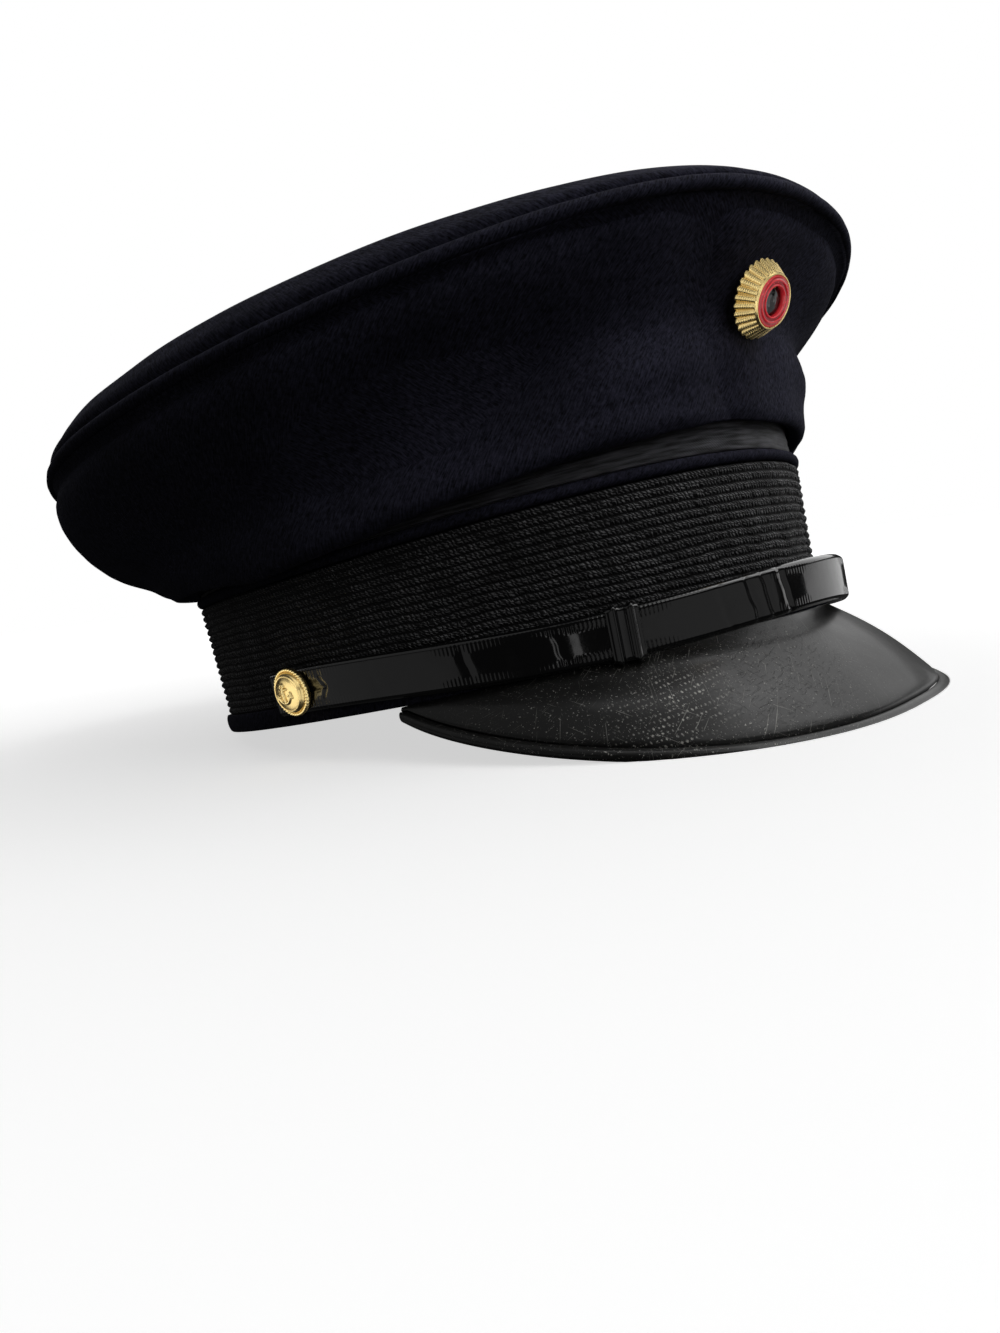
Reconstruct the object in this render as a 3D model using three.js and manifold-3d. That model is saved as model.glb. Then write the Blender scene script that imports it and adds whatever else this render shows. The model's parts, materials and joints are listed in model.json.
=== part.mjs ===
// A naval officer's peaked cap in millimetres, +Z up, front towards -Y, wearer's left towards +X.
// It rests as it would on a table: on the lower edge of its peak and the back of its band.
import * as THREE from 'three';
import { mergeVertices } from 'three/addons/utils/BufferGeometryUtils.js';
import Module from 'manifold-3d';

const wasm = await Module();
wasm.setup();

// Driving dimensions, in the cap's own frame: origin at the middle of the band's lower edge
const GAP = 0.3;                      // clearance between pieces that touch on the real cap
const STEPS = 58;                     // sections round the head
const SIDE_LEVELS = 12;               // spans up the crown's side
const SIDE_BLEND = 1.25;              // how soon the front and back shapes give way to the side's
const CLOTH = 1.8;                    // wool cloth with its canvas
const BAND = {
  halfLength: 104.4, halfWidth: 83.6, // oval of the braid at its lower edge
  topHalfLength: 104, topHalfWidth: 88.1, topForward: 0.9,
  height: 41.0, frontDrop: 0.3, sideDip: 2.3,
  wall: 2.4, lift: 1.3,
};
const BINDING = { height: 5.6, thickness: 1.0 };
const PIPING = { halfWidth: 1.6, halfHeight: 1.5, inset: 0.9 };
const SATIN = { inset: 1.0, thickness: 1.2, frontShow: 6.8, sideShow: 0.8, fade: 0.8, tuck: 4 };
const WELT = {
  front: 131.2, back: 140.6, halfWidth: 114.2, backShift: 4.5, squareness: 2.22,
  height: 90.8, rise: 7.3, saddle: 2.5, twist: 2.6, radius: 1.4,
};
const TOP = { rise: 8.4, frontRise: 1.4, sideRise: -3.2, dish: 2, span: 116 };
const PEAK = {
  corner: THREE.MathUtils.degToRad(73.3), cornerOut: 3.1, cornerHeight: 0.75,
  reach: 132.5, drop: -26, sideDrop: -0.6,
  planPower: 0.82, sidePower: 0.78, dropPower: 0.47,
  thickness: 2, bulge: 1.6, bulgeWidth: 20, rootOut: 0.9, rootHeight: -0.3,
  steps: 32, lastAngle: THREE.MathUtils.degToRad(89.4),
};
const BEAD = { halfWidth: 1.9, halfHeight: 1.5, tipPanel: 1 };
const STRAP = {
  width: 12.2, thickness: 1.6, endAngle: THREE.MathUtils.degToRad(95), steps: 44,
  sideTop: 15.2, frontTop: 15.8, wave: 2.7, frontLift: 5.6, bevel: 0.4,
};
const KEEPER = { angle: THREE.MathUtils.degToRad(-39.5), length: 8, wall: 0.8 };
const BUTTON = {
  radius: 6.6, height: 4.2, rim: 1.3, rimHeight: 2.2, sides: 20,
  angle: THREE.MathUtils.degToRad(89.5), centre: 9.4,
};
const SHANK = { radius: 1.2, sides: 12 };
const COCKADE = {
  radius: 9.7, faceRadius: 6.5, height: 5, flutes: 28, fluteDepth: 0.4, rimWidth: 0.8,
  wallHeight: 0.6, seatDepth: 1.4, ringInner: 3.4, ringStand: 0.5, centreSink: 0.3,
  share: 0.77, angle: THREE.MathUtils.degToRad(-4.5),
  tilt: THREE.MathUtils.degToRad(28), turn: THREE.MathUtils.degToRad(-11), seatReach: 6,
};
const SINK = 0.7;                     // how far cloth and peak edge flatten where the cap rests
const REST_ANGLE = THREE.MathUtils.degToRad(32); // where along its edge the peak touches

// How the crown's side leans out from the band (0) to the welt (1), at three places round the head
const CROWN_SIDE = [
  { frontOut: 0.00, frontUp: 0.00, sideOut: 0.00, sideUp: 0.00, backOut: 0.00, backUp: 0.00 },
  { frontOut: 0.09, frontUp: -0.01, sideOut: 0.10, sideUp: -0.02, backOut: 0.06, backUp: -0.03 },
  { frontOut: 0.13, frontUp: 0.03, sideOut: 0.17, sideUp: -0.05, backOut: 0.10, backUp: -0.03 },
  { frontOut: 0.15, frontUp: 0.10, sideOut: 0.27, sideUp: -0.04, backOut: 0.18, backUp: -0.03 },
  { frontOut: 0.15, frontUp: 0.24, sideOut: 0.34, sideUp: 0.10, backOut: 0.32, backUp: 0.03 },
  { frontOut: 0.17, frontUp: 0.42, sideOut: 0.37, sideUp: 0.28, backOut: 0.50, backUp: 0.13 },
  { frontOut: 0.27, frontUp: 0.58, sideOut: 0.63, sideUp: 0.50, backOut: 0.87, backUp: 0.33 },
  { frontOut: 0.65, frontUp: 0.80, sideOut: 0.94, sideUp: 0.78, backOut: 1.03, backUp: 0.60 },
  { frontOut: 1.00, frontUp: 1.00, sideOut: 1.00, sideUp: 1.00, backOut: 1.00, backUp: 1.00 },
];

// How the top panel rolls over from the welt: distance in from the welt and share of its rise
const TOP_ROLL = [
  { inset: 0, rise: 0.0 },
  { inset: 1.0, rise: 0.35 },
  { inset: 4.0, rise: 0.82 },
  { inset: 9.0, rise: 1.0 },
  { inset: 20, rise: 1.0 },
  { inset: 48, rise: 1.0 },
  { inset: 82, rise: 1.0 },
];

const { cos, sin, abs, sign, max, min, PI, atan, atan2 } = Math;
const mix = THREE.MathUtils.lerp;
const at = (x, y, z) => new THREE.Vector3(x, y, z);
const angles = Array.from({ length: STEPS }, (_, i) => (i / STEPS) * 2 * PI);

// A point of a level oval. The angle starts at the front and grows toward the wearer's left.
function oval(angle, front, back, side, forward, squareness = 2) {
  const power = 2 / squareness;
  const along = sign(cos(angle)) * abs(cos(angle)) ** power;
  const across = sign(sin(angle)) * abs(sin(angle)) ** power;
  return at(side * across, -forward - (cos(angle) > 0 ? front : back) * along, 0);
}

// Ring of points that stand off a base point: pairs of distance outward and distance up
function profileRing(base, pairs) {
  const outward = at(base.x, base.y, 0).normalize();
  return pairs.map(([out, up]) => base.clone().addScaledVector(outward, out).add(at(0, 0, up)));
}

// Joins rings of equally many points into one closed solid, either round the head or capped at its ends
function loft(rings, round) {
  const count = rings[0].length;
  const points = rings.flat();
  const index = [];
  const spans = round ? rings.length : rings.length - 1;
  for (let i = 0; i < spans; i++) {
    const here = i * count;
    const next = ((i + 1) % rings.length) * count;
    for (let j = 0; j < count; j++) {
      const k = (j + 1) % count;
      index.push(here + j, next + j, next + k, here + j, next + k, here + k);
    }
  }
  if (!round) {
    for (const end of [0, rings.length - 1]) {
      const centre = rings[end].reduce((sum, p) => sum.add(p), at(0, 0, 0)).divideScalar(count);
      points.push(centre);
      for (let j = 0; j < count; j++) {
        const edge = [end * count + j, end * count + ((j + 1) % count)];
        index.push(points.length - 1, ...(end === 0 ? edge : edge.reverse()));
      }
    }
  }
  return solidOf(points, index);
}

// Builds the geometry and turns its faces outward
function solidOf(points, index) {
  let volume = 0;
  for (let i = 0; i < index.length; i += 3) {
    const [a, b, c] = [points[index[i]], points[index[i + 1]], points[index[i + 2]]];
    volume += a.dot(b.clone().cross(c));
  }
  if (volume < 0) index.reverse();
  const geometry = new THREE.BufferGeometry().setFromPoints(points);
  geometry.setIndex(index);
  return geometry;
}

function toManifold(geometry) {
  const bare = geometry.clone();
  bare.deleteAttribute('normal');
  bare.deleteAttribute('uv');
  const merged = mergeVertices(bare);
  return new wasm.Manifold(new wasm.Mesh({
    numProp: 3,
    vertProperties: new Float32Array(merged.attributes.position.array),
    triVerts: new Uint32Array(merged.index.array),
  }));
}

// Cuts one round hole per cutter through a solid
function drill(geometry, cutters) {
  const body = cutters.reduce((solid, cutter) => solid.subtract(toManifold(cutter)), toManifold(geometry));
  const mesh = body.getMesh();
  const result = new THREE.BufferGeometry();
  result.setAttribute('position', new THREE.BufferAttribute(mesh.vertProperties, 3));
  result.setIndex(new THREE.BufferAttribute(mesh.triVerts, 1));
  return result;
}

// A hole for a shank, at the shank's own place and direction
function holeCutter(place, depth) {
  const geometry = new THREE.CylinderGeometry(
    SHANK.radius + GAP, SHANK.radius + GAP, 2 * depth, SHANK.sides);
  geometry.rotateX(PI / 2);
  return geometry.applyMatrix4(place);
}

// Matrix that stands a round piece on a point, with its own +Z along the outward normal
function placeAt(point, normal) {
  const turn = new THREE.Quaternion().setFromUnitVectors(at(0, 0, 1), normal);
  return new THREE.Matrix4().compose(point, turn, at(1, 1, 1));
}

// Band
const bandTop = (angle) => BAND.height - BAND.frontDrop * cos(angle) + BAND.sideDip * cos(2 * angle);

// A point of the band's face at a height, moved off it by an outset
function bandPoint(angle, height, outset) {
  const share = height / bandTop(angle);
  const length = mix(BAND.halfLength, BAND.topHalfLength, share) + outset;
  const width = mix(BAND.halfWidth, BAND.topHalfWidth, share) + outset;
  const point = oval(angle, length, length, width, share * BAND.topForward);
  point.z = height;
  return point;
}

function braidBand() {
  return loft(angles.map((angle) => [
    bandPoint(angle, BAND.lift, 0),
    bandPoint(angle, bandTop(angle), 0),
    bandPoint(angle, bandTop(angle), -BAND.wall),
    bandPoint(angle, BAND.lift, -BAND.wall),
  ]), true);
}

// Cloth folded round the band's lower edge. It flattens on the table at the back.
function bottomBinding() {
  const { height, thickness } = BINDING;
  const inner = -BAND.wall - GAP;
  return loft(angles.map((angle) => [
    bandPoint(angle, 0, GAP),
    bandPoint(angle, thickness, GAP + thickness),
    bandPoint(angle, height, GAP + thickness),
    bandPoint(angle, height, GAP),
    bandPoint(angle, thickness, GAP),
    bandPoint(angle, thickness, inner),
    bandPoint(angle, height, inner),
    bandPoint(angle, height, inner - thickness),
    bandPoint(angle, 0, inner - thickness),
  ].map(flatten)), true);
}

function pipingCentre(angle) {
  return bandPoint(angle, bandTop(angle) + GAP + PIPING.halfHeight, -PIPING.inset);
}

function roundSection(base, halfWidth, halfHeight, sides) {
  return profileRing(base, Array.from({ length: sides }, (_, i) => {
    const turn = (i / sides) * 2 * PI;
    return [halfWidth * cos(turn), halfHeight * sin(turn)];
  }));
}

function bandPiping() {
  return loft(angles.map((angle) => (
    roundSection(pipingCentre(angle), PIPING.halfWidth, PIPING.halfHeight, 6))), true);
}

// Height of the crown cloth's lower edge: it leaves the satin showing at the front only
const pipingTop = (angle) => bandTop(angle) + GAP + 2 * PIPING.halfHeight;
const footHeight = (angle) => (
  pipingTop(angle) + SATIN.sideShow + SATIN.frontShow * max(cos(angle), 0) ** SATIN.fade);

function satinStrip() {
  return loft(angles.map((angle) => {
    const low = pipingTop(angle) + GAP;
    const high = footHeight(angle) + SATIN.tuck;
    return [
      bandPoint(angle, low, -SATIN.inset),
      bandPoint(angle, high, -SATIN.inset),
      bandPoint(angle, high, -SATIN.inset - SATIN.thickness),
      bandPoint(angle, low, -SATIN.inset - SATIN.thickness),
    ];
  }), true);
}

// Crown
const weltHeight = (angle, share = 1) => (
  WELT.height + share * WELT.rise * cos(angle) + share ** 2 * WELT.saddle * cos(2 * angle)
  + share ** 3 * WELT.twist * cos(3 * angle));

function weltPoint(angle, inset = 0) {
  return oval(angle, WELT.front - inset, WELT.back - inset, WELT.halfWidth - inset,
    -WELT.backShift, WELT.squareness).setZ(weltHeight(angle));
}

// Polyline moved sideways by the cloth's thickness, for the inside of a wall
function offsetLine(line, distance) {
  return line.map((point, i) => {
    const before = line[max(i - 1, 0)];
    const after = line[min(i + 1, line.length - 1)];
    const run = after.clone().sub(before).normalize();
    return new THREE.Vector2(point.x - run.y * distance, point.y + run.x * distance);
  });
}

// Outer curve of the crown's side at one angle, as distances out and up from the cloth's lower edge
function crownSideCurve(angle, out, up) {
  const front = max(cos(angle), 0) ** SIDE_BLEND;
  const back = max(-cos(angle), 0) ** SIDE_BLEND;
  const side = 1 - front - back;
  const knots = CROWN_SIDE.map((row) => new THREE.Vector2(
    out * (front * row.frontOut + side * row.sideOut + back * row.backOut),
    up * (front * row.frontUp + side * row.sideUp + back * row.backUp)));
  return new THREE.SplineCurve(knots);
}

// A flat slice through the crown's side: its foot, its outward direction and its outer curve
function crownSlice(angle) {
  const foot = bandPoint(angle, footHeight(angle), -SATIN.inset + GAP);
  const head = weltPoint(angle).add(at(0, 0, -WELT.radius - GAP));
  const lean = head.clone().sub(foot).setZ(0);
  const out = lean.length();
  const outward = lean.normalize();
  const curve = crownSideCurve(angle, out, head.z - foot.z);
  const place = (p) => foot.clone().addScaledVector(outward, p.x).add(at(0, 0, p.y));
  return { curve, place };
}

function crownSide() {
  return loft(angles.map((angle) => {
    const { curve, place } = crownSlice(angle);
    const line = curve.getPoints(SIDE_LEVELS);
    const top = line.at(-1).y;
    const inside = offsetLine(line, CLOTH).map((p) => p.setY(min(p.y, top)));
    return [...line, ...inside.reverse()].map(place);
  }), true);
}

function crownWelt() {
  return loft(angles.map((angle) => (
    roundSection(weltPoint(angle), WELT.radius, WELT.radius, 6))), true);
}

// The top panel rolls up from the welt to a slightly dished flat
function topHeight(angle, inset, roll) {
  const share = max(1 - inset / TOP.span, 0);
  const edge = WELT.radius + GAP;
  const rise = TOP.rise + share * TOP.frontRise * cos(angle) + share ** 2 * TOP.sideRise * cos(2 * angle);
  return weltHeight(angle, share) + edge + (rise - edge) * roll - TOP.dish * (1 - share ** 2) * roll;
}

function crownTop() {
  const sections = angles.map((angle) => {
    const rows = TOP_ROLL.map((row) => ({ ...row, z: topHeight(angle, row.inset, row.rise) }));
    const outside = rows.map((row) => weltPoint(angle, row.inset).setZ(row.z));
    const inside = rows.map((row) => (
      weltPoint(angle, row.inset + CLOTH * (1 - row.rise)).setZ(row.z - CLOTH * row.rise)));
    return [...outside.reverse(), ...inside];
  });
  const levels = sections[0].map((_, level) => sections.map((section) => section[level]));
  return loft(levels, false);
}

// Peak
// Outermost edge of the peak: the angle runs from corner to corner through the front
function peakEdge(angle) {
  const corner = bandPoint(PEAK.corner, PEAK.cornerHeight, PEAK.cornerOut);
  const c = abs(cos(angle));
  return at(
    sign(angle) * corner.x * abs(sin(angle)) ** PEAK.sidePower,
    corner.y - (PEAK.reach + corner.y) * c ** PEAK.planPower,
    corner.z + (PEAK.drop - corner.z) * c ** PEAK.dropPower + PEAK.sideDrop * sin(2 * angle) ** 2);
}

// The peak's root on the binding, level with the edge point as seen from the cap's middle
function peakRoot(edge) {
  const angle = atan2(edge.x / BAND.halfWidth, -edge.y / BAND.halfLength);
  return bandPoint(angle, PEAK.rootHeight, PEAK.rootOut);
}

// One section of the peak: where it starts and ends, and its direction and downward normal
function peakFrame(angle) {
  const edge = peakEdge(angle);
  const root = peakRoot(edge);
  const away = edge.clone().sub(root);
  const width = away.length();
  away.normalize();
  const step = 0.01;
  const along = peakRoot(peakEdge(angle + step)).sub(peakRoot(peakEdge(angle - step))).normalize();
  const down = away.clone().cross(along).normalize();
  if (down.z > 0) down.negate();
  return { root, away, down, width, bead: min(BEAD.halfWidth, (width - BEAD.tipPanel) / 2) };
}

const peakAngles = Array.from({ length: PEAK.steps + 1 }, (_, i) => (
  PEAK.lastAngle * sin(mix(-PI / 2, PI / 2, i / PEAK.steps))));

function peakPanel() {
  const shares = [0, 0.33, 0.67, 1];
  return loft(peakAngles.map((angle) => {
    const { root, away, down, width, bead } = peakFrame(angle);
    const reach = width - 2 * bead - GAP;
    const upper = shares.map((share) => root.clone().addScaledVector(away, reach * share)
      .addScaledVector(down, -PEAK.bulge * sin(PI * share) * min(1, reach / PEAK.bulgeWidth)));
    const lower = upper.map((p) => p.clone().addScaledVector(down, PEAK.thickness));
    lower[0].copy(upper[0]).add(at(0, 0, PEAK.thickness / down.z));
    return [...upper, ...lower.reverse()].map(flatten);
  }), false);
}

// Rounded bead sewn along the peak's edge. It flattens where it touches the table.
function peakBead() {
  const sides = 8;
  return loft(peakAngles.map((angle) => {
    const { root, away, down, width, bead } = peakFrame(angle);
    const centre = root.addScaledVector(away, width - bead)
      .addScaledVector(down, PEAK.thickness / 2);
    return Array.from({ length: sides }, (_, i) => {
      const turn = ((i + 0.5) / sides) * 2 * PI;
      return flatten(centre.clone().addScaledVector(away, bead * cos(turn))
        .addScaledVector(down, BEAD.halfHeight * sin(turn)));
    });
  }), false);
}

// Chin strap. It lies on the binding beside the ears and stands off the band across the front.
const strapLie = BINDING.thickness + 2 * GAP;
const frontShare = (angle) => max(cos(angle), 0) ** 2;

function strapTop(angle) {
  return mix(STRAP.sideTop, STRAP.frontTop, frontShare(angle))
    - STRAP.wave * sin(2 * angle) ** 2;
}

function strapPoint(angle, height, outset) {
  const point = bandPoint(angle, height, strapLie + outset);
  point.y -= STRAP.frontLift * frontShare(angle);
  return point;
}

function chinStrap() {
  const rings = Array.from({ length: STRAP.steps + 1 }, (_, i) => {
    const angle = mix(-STRAP.endAngle, STRAP.endAngle, i / STRAP.steps);
    const top = strapTop(angle);
    return [
      strapPoint(angle, top - STRAP.width, 0),
      strapPoint(angle, top - STRAP.width + STRAP.bevel, STRAP.thickness),
      strapPoint(angle, top - STRAP.bevel, STRAP.thickness),
      strapPoint(angle, top, 0),
    ];
  });
  return loft(rings, false);
}

// Matrix at a place on a surface given by point(angle, height): +Z outward, +X along, +Y up
function surfacePlace(surface, angle, height, outset) {
  const step = 0.02;
  const along = surface(angle + step, height, outset).sub(surface(angle - step, height, outset)).normalize();
  const up = surface(angle, height + 1, outset).sub(surface(angle, height - 1, outset)).normalize();
  const normal = along.clone().cross(up).normalize();
  const matrix = new THREE.Matrix4().makeBasis(along, normal.clone().cross(along), normal);
  return matrix.setPosition(surface(angle, height, outset));
}

// A sleeve that the strap runs through
function strapKeeper() {
  const halfHigh = STRAP.width / 2 + GAP;
  const halfDeep = STRAP.thickness / 2 + GAP;
  const sleeve = rectangle(halfDeep + KEEPER.wall, halfHigh + KEEPER.wall);
  sleeve.holes.push(rectangle(halfDeep, halfHigh));
  const geometry = new THREE.ExtrudeGeometry(sleeve, { depth: KEEPER.length, bevelEnabled: false });
  geometry.translate(0, 0, -KEEPER.length / 2);
  return geometry.rotateY(PI / 2);
}

function rectangle(halfDeep, halfHigh) {
  return new THREE.Shape([
    new THREE.Vector2(-halfDeep, -halfHigh),
    new THREE.Vector2(halfDeep, -halfHigh),
    new THREE.Vector2(halfDeep, halfHigh),
    new THREE.Vector2(-halfDeep, halfHigh),
  ]);
}

// Domed button with a plain shank behind it, +Z outward, back face at the origin
function buttonShape(shankLength) {
  const { radius, height, rim, rimHeight, sides } = BUTTON;
  const domeRadius = radius - rim;
  const dome = [0, 0.5, 1].map((share) => [
    domeRadius * cos(share * PI / 2), mix(rimHeight, height, sin(share * PI / 2))]);
  return turned([
    [0, -shankLength], [SHANK.radius, -shankLength], [SHANK.radius, 0], [radius - rim / 2, 0],
    [radius, rimHeight / 3], [radius, rimHeight * 2 / 3], [radius - rim / 2, rimHeight], ...dome,
  ], sides);
}

function turned(profile, sides) {
  const geometry = new THREE.LatheGeometry(profile.map(([r, z]) => new THREE.Vector2(r, z)), sides);
  return geometry.rotateX(PI / 2);
}

// Fluted cone of the cockade, with a seat for its ring and a plain shank
function cockadeShell(shankLength) {
  const { radius, faceRadius, height, flutes, fluteDepth, rimWidth, wallHeight, seatDepth } = COCKADE;
  const seat = faceRadius - rimWidth;
  const rows = [
    [SHANK.radius, -shankLength, 0], [SHANK.radius, 0, 0],
    [radius - fluteDepth, 0, 1], [radius, wallHeight, 1],
    [faceRadius + fluteDepth, height - fluteDepth, 1], [faceRadius, height, 0],
    [seat, height, 0], [seat, height - seatDepth, 0],
  ];
  const sides = 2 * flutes;
  return loft(rows.map(([r, z, fluted]) => Array.from({ length: sides }, (_, i) => {
    const turn = (i / sides) * 2 * PI;
    const reach = r + (fluted ? (i % 2 ? -fluteDepth : fluteDepth) : 0);
    return at(reach * cos(turn), reach * sin(turn), z);
  })), false);
}

// Enamel ring that sits in the shell
function cockadeRing() {
  const outer = COCKADE.faceRadius - COCKADE.rimWidth - GAP;
  const base = COCKADE.height - COCKADE.seatDepth + GAP;
  const face = COCKADE.height + COCKADE.ringStand;
  const soft = COCKADE.ringStand;
  return turned([
    [COCKADE.ringInner, base], [outer, base], [outer, face - soft], [outer - soft, face],
    [COCKADE.ringInner + soft, face], [COCKADE.ringInner, face - soft], [COCKADE.ringInner, base],
  ], COCKADE.flutes);
}

function cockadeCentre() {
  const radius = COCKADE.ringInner - GAP;
  const base = COCKADE.height - COCKADE.seatDepth + GAP;
  const edge = COCKADE.height - 2 * COCKADE.centreSink;
  return turned([[0, base], [radius, base], [radius, edge], [0, edge + COCKADE.centreSink]], BUTTON.sides);
}

// Rest on the table: the pitch that brings the peak's edge and the band's back to one level
const restPeak = peakEdge(REST_ANGLE);
const restBack = bandPoint(PI, 0, -BAND.wall / 2);
const pitch = atan((restBack.z - restPeak.z) / (restBack.y - restPeak.y));
const level = (p) => p.z * cos(pitch) - p.y * sin(pitch);
const floorLevel = level(restBack) + SINK;

// Moves a point up to the table where cloth would otherwise sink into it
function flatten(point) {
  const short = floorLevel - level(point);
  return short > 0 ? point.setZ(point.z + short / cos(pitch)) : point;
}

// Places of the cockade and buttons
function cockadePlace() {
  const { curve, place } = crownSlice(COCKADE.angle);
  const point = place(curve.getPoint(COCKADE.share));
  const forward = cos(COCKADE.tilt);
  const normal = at(sin(COCKADE.turn) * forward, -cos(COCKADE.turn) * forward, -sin(COCKADE.tilt));
  const cloth = angles.filter((angle) => cos(angle) > frontCloth).flatMap((angle) => {
    const slice = crownSlice(angle);
    return slice.curve.getPoints(SIDE_LEVELS).map(slice.place);
  });
  const under = cloth.map((p) => p.sub(point)).filter((p) => {
    const height = p.dot(normal);
    return p.length() ** 2 - height ** 2 < (COCKADE.radius + COCKADE.seatReach) ** 2;
  });
  const seat = max(...under.map((p) => p.dot(normal)));
  return placeAt(point.addScaledVector(normal, seat + GAP), normal);
}

const buttonSides = { right: -1, left: 1 };
const buttonOutset = STRAP.thickness + GAP;
const buttonPlaces = Object.fromEntries(Object.entries(buttonSides).map(([name, side]) => (
  [name, surfacePlace(strapPoint, side * BUTTON.angle, BUTTON.centre, buttonOutset)])));
const shankEnd = 1.5;                 // how far a shank comes through on the inside
const buttonShank = buttonOutset + strapLie + BAND.wall + shankEnd;
const cockadeShank = 6;
const frontCloth = 0.9;               // cosine of the half angle of cloth that can touch the cockade

// Finishes
const finish = (color, roughness, metalness = 0) => (
  new THREE.MeshStandardMaterial({ color, roughness, metalness }));
const wool = () => finish(0x0b0d1c, 0.95);
const patent = () => finish(0x0a0a0c, 0.15);
const gold = () => finish(0xd9b65a, 0.3, 1);

const cap = new THREE.Group();

function add(name, geometry, material, matrix) {
  const mesh = new THREE.Mesh(geometry, material);
  mesh.name = name;
  if (matrix) matrix.decompose(mesh.position, mesh.quaternion, mesh.scale);
  cap.add(mesh);
  return mesh;
}

const shankHoles = Object.values(buttonPlaces).map((place) => holeCutter(place, buttonShank + shankEnd));
add('crown_top', crownTop(), wool());
add('crown_side', drill(crownSide(), [holeCutter(cockadePlace(), cockadeShank + shankEnd)]), wool());
add('crown_welt', crownWelt(), wool());
add('satin_strip', satinStrip(), finish(0x1a1b1e, 0.5));
add('band_piping', bandPiping(), wool());
add('braid_band', drill(braidBand(), shankHoles), finish(0x0c0c0e, 0.8));
add('bottom_binding', bottomBinding(), wool());
add('peak', peakPanel(), patent());
add('peak_bead', peakBead(), patent());
add('chin_strap', drill(chinStrap(), shankHoles), patent());
add('strap_keeper', strapKeeper(), patent(),
  surfacePlace(strapPoint, KEEPER.angle, strapTop(KEEPER.angle) - STRAP.width / 2, STRAP.thickness / 2));
for (const [name, place] of Object.entries(buttonPlaces)) {
  add(`button_${name}`, buttonShape(buttonShank), gold(), place);
}
add('cockade_shell', cockadeShell(cockadeShank), gold(), cockadePlace());
add('cockade_ring', cockadeRing(), finish(0xb3141c, 0.2), cockadePlace());
add('cockade_centre', cockadeCentre(), finish(0x08080a, 0.2), cockadePlace());

// The origin is the middle of the box's underside, on the table
cap.rotation.x = -pitch;
const standing = new THREE.Group();
standing.add(cap);
standing.position.z = -floorLevel;
standing.updateMatrixWorld(true);
const box = new THREE.Box3().setFromObject(standing, true);
standing.position.y = -(box.min.y + box.max.y) / 2;

export default standing;
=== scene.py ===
"""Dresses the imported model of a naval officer's peaked cap: cloth, braid, patent leather and gilt."""
import json
import math
from functools import partial
from types import SimpleNamespace as Sizes

import bmesh
import bpy
import numpy as np
from mathutils import Matrix, Vector, noise

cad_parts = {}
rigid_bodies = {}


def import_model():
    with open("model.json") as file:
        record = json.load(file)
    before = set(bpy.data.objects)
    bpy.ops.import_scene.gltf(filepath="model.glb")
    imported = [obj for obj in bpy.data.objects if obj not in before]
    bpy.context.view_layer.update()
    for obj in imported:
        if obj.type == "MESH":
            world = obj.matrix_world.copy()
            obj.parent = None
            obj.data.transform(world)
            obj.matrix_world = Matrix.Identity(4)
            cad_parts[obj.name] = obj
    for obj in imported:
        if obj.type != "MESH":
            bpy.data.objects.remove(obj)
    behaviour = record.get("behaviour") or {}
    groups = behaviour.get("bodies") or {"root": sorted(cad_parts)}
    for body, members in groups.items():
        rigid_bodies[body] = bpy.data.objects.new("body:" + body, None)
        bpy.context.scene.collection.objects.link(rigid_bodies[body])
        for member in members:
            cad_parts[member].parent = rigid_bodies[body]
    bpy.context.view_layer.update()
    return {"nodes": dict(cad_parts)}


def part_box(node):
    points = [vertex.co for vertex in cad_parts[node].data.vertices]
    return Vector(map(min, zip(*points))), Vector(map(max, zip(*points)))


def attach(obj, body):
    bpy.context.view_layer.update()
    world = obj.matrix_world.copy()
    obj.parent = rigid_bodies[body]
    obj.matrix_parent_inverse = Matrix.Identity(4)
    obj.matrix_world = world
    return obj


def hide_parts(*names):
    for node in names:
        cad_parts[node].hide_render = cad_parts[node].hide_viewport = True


bl_info = {
    "name": "Naval Officer Cap",
    "version": (1, 0, 0),
    "blender": (4, 5, 0),
    "location": "3D View > Sidebar > Cap",
    "description": "Builds the cloth, braid, leather and gilt of a peaked cap round its packed model",
    "category": "Add Mesh",
}

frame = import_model()
MM = 0.001

# Driving sizes in millimetres and radians, in the cap's own frame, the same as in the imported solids.
# The origin is the middle of the band's lower edge, the front faces -Y and the wearer's left +X.
# GAP is the play between two pieces, CLOTH the wool's thickness, SINK how far soft edges sink where the cap
# rests, and SIDE_BLEND how soon the crown's shape at the front and back gives way to that of its sides.
GAP = 0.3
CLOTH = 1.8
BAND = Sizes(
    half_length=104.4, half_width=83.6, top_half_length=104, top_half_width=88.1,
    top_forward=0.9, height=41.0, front_drop=0.3, side_dip=2.3, wall=2.4, lift=1.3)
BINDING = Sizes(height=5.6, thickness=1.0)
PIPING = Sizes(half_width=1.6, half_height=1.5, inset=0.9)
SATIN = Sizes(inset=1.0, thickness=1.2, front_show=6.8, side_show=0.8, fade=0.8, tuck=4)
WELT = Sizes(
    front=131.2, back=140.6, half_width=114.2, back_shift=4.5, squareness=2.22,
    height=90.8, rise=7.3, saddle=2.5, twist=2.6, radius=1.4)
TOP = Sizes(rise=8.4, front_rise=1.4, side_rise=-3.2, dish=2, span=116, roll_width=9, roll_power=3.2)
SIDE_BLEND = 1.25
PEAK = Sizes(
    corner=math.radians(73.3), corner_out=3.1, corner_height=0.75, reach=132.5, drop=-26,
    side_drop=-0.6, plan_power=0.82, side_power=0.78, drop_power=0.47, thickness=2,
    bulge=1.6, bulge_width=20, root_out=0.9, root_height=-0.3, last_angle=math.radians(89.4))
BEAD = Sizes(half_width=1.9, half_height=1.5, tip_panel=1)
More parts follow.
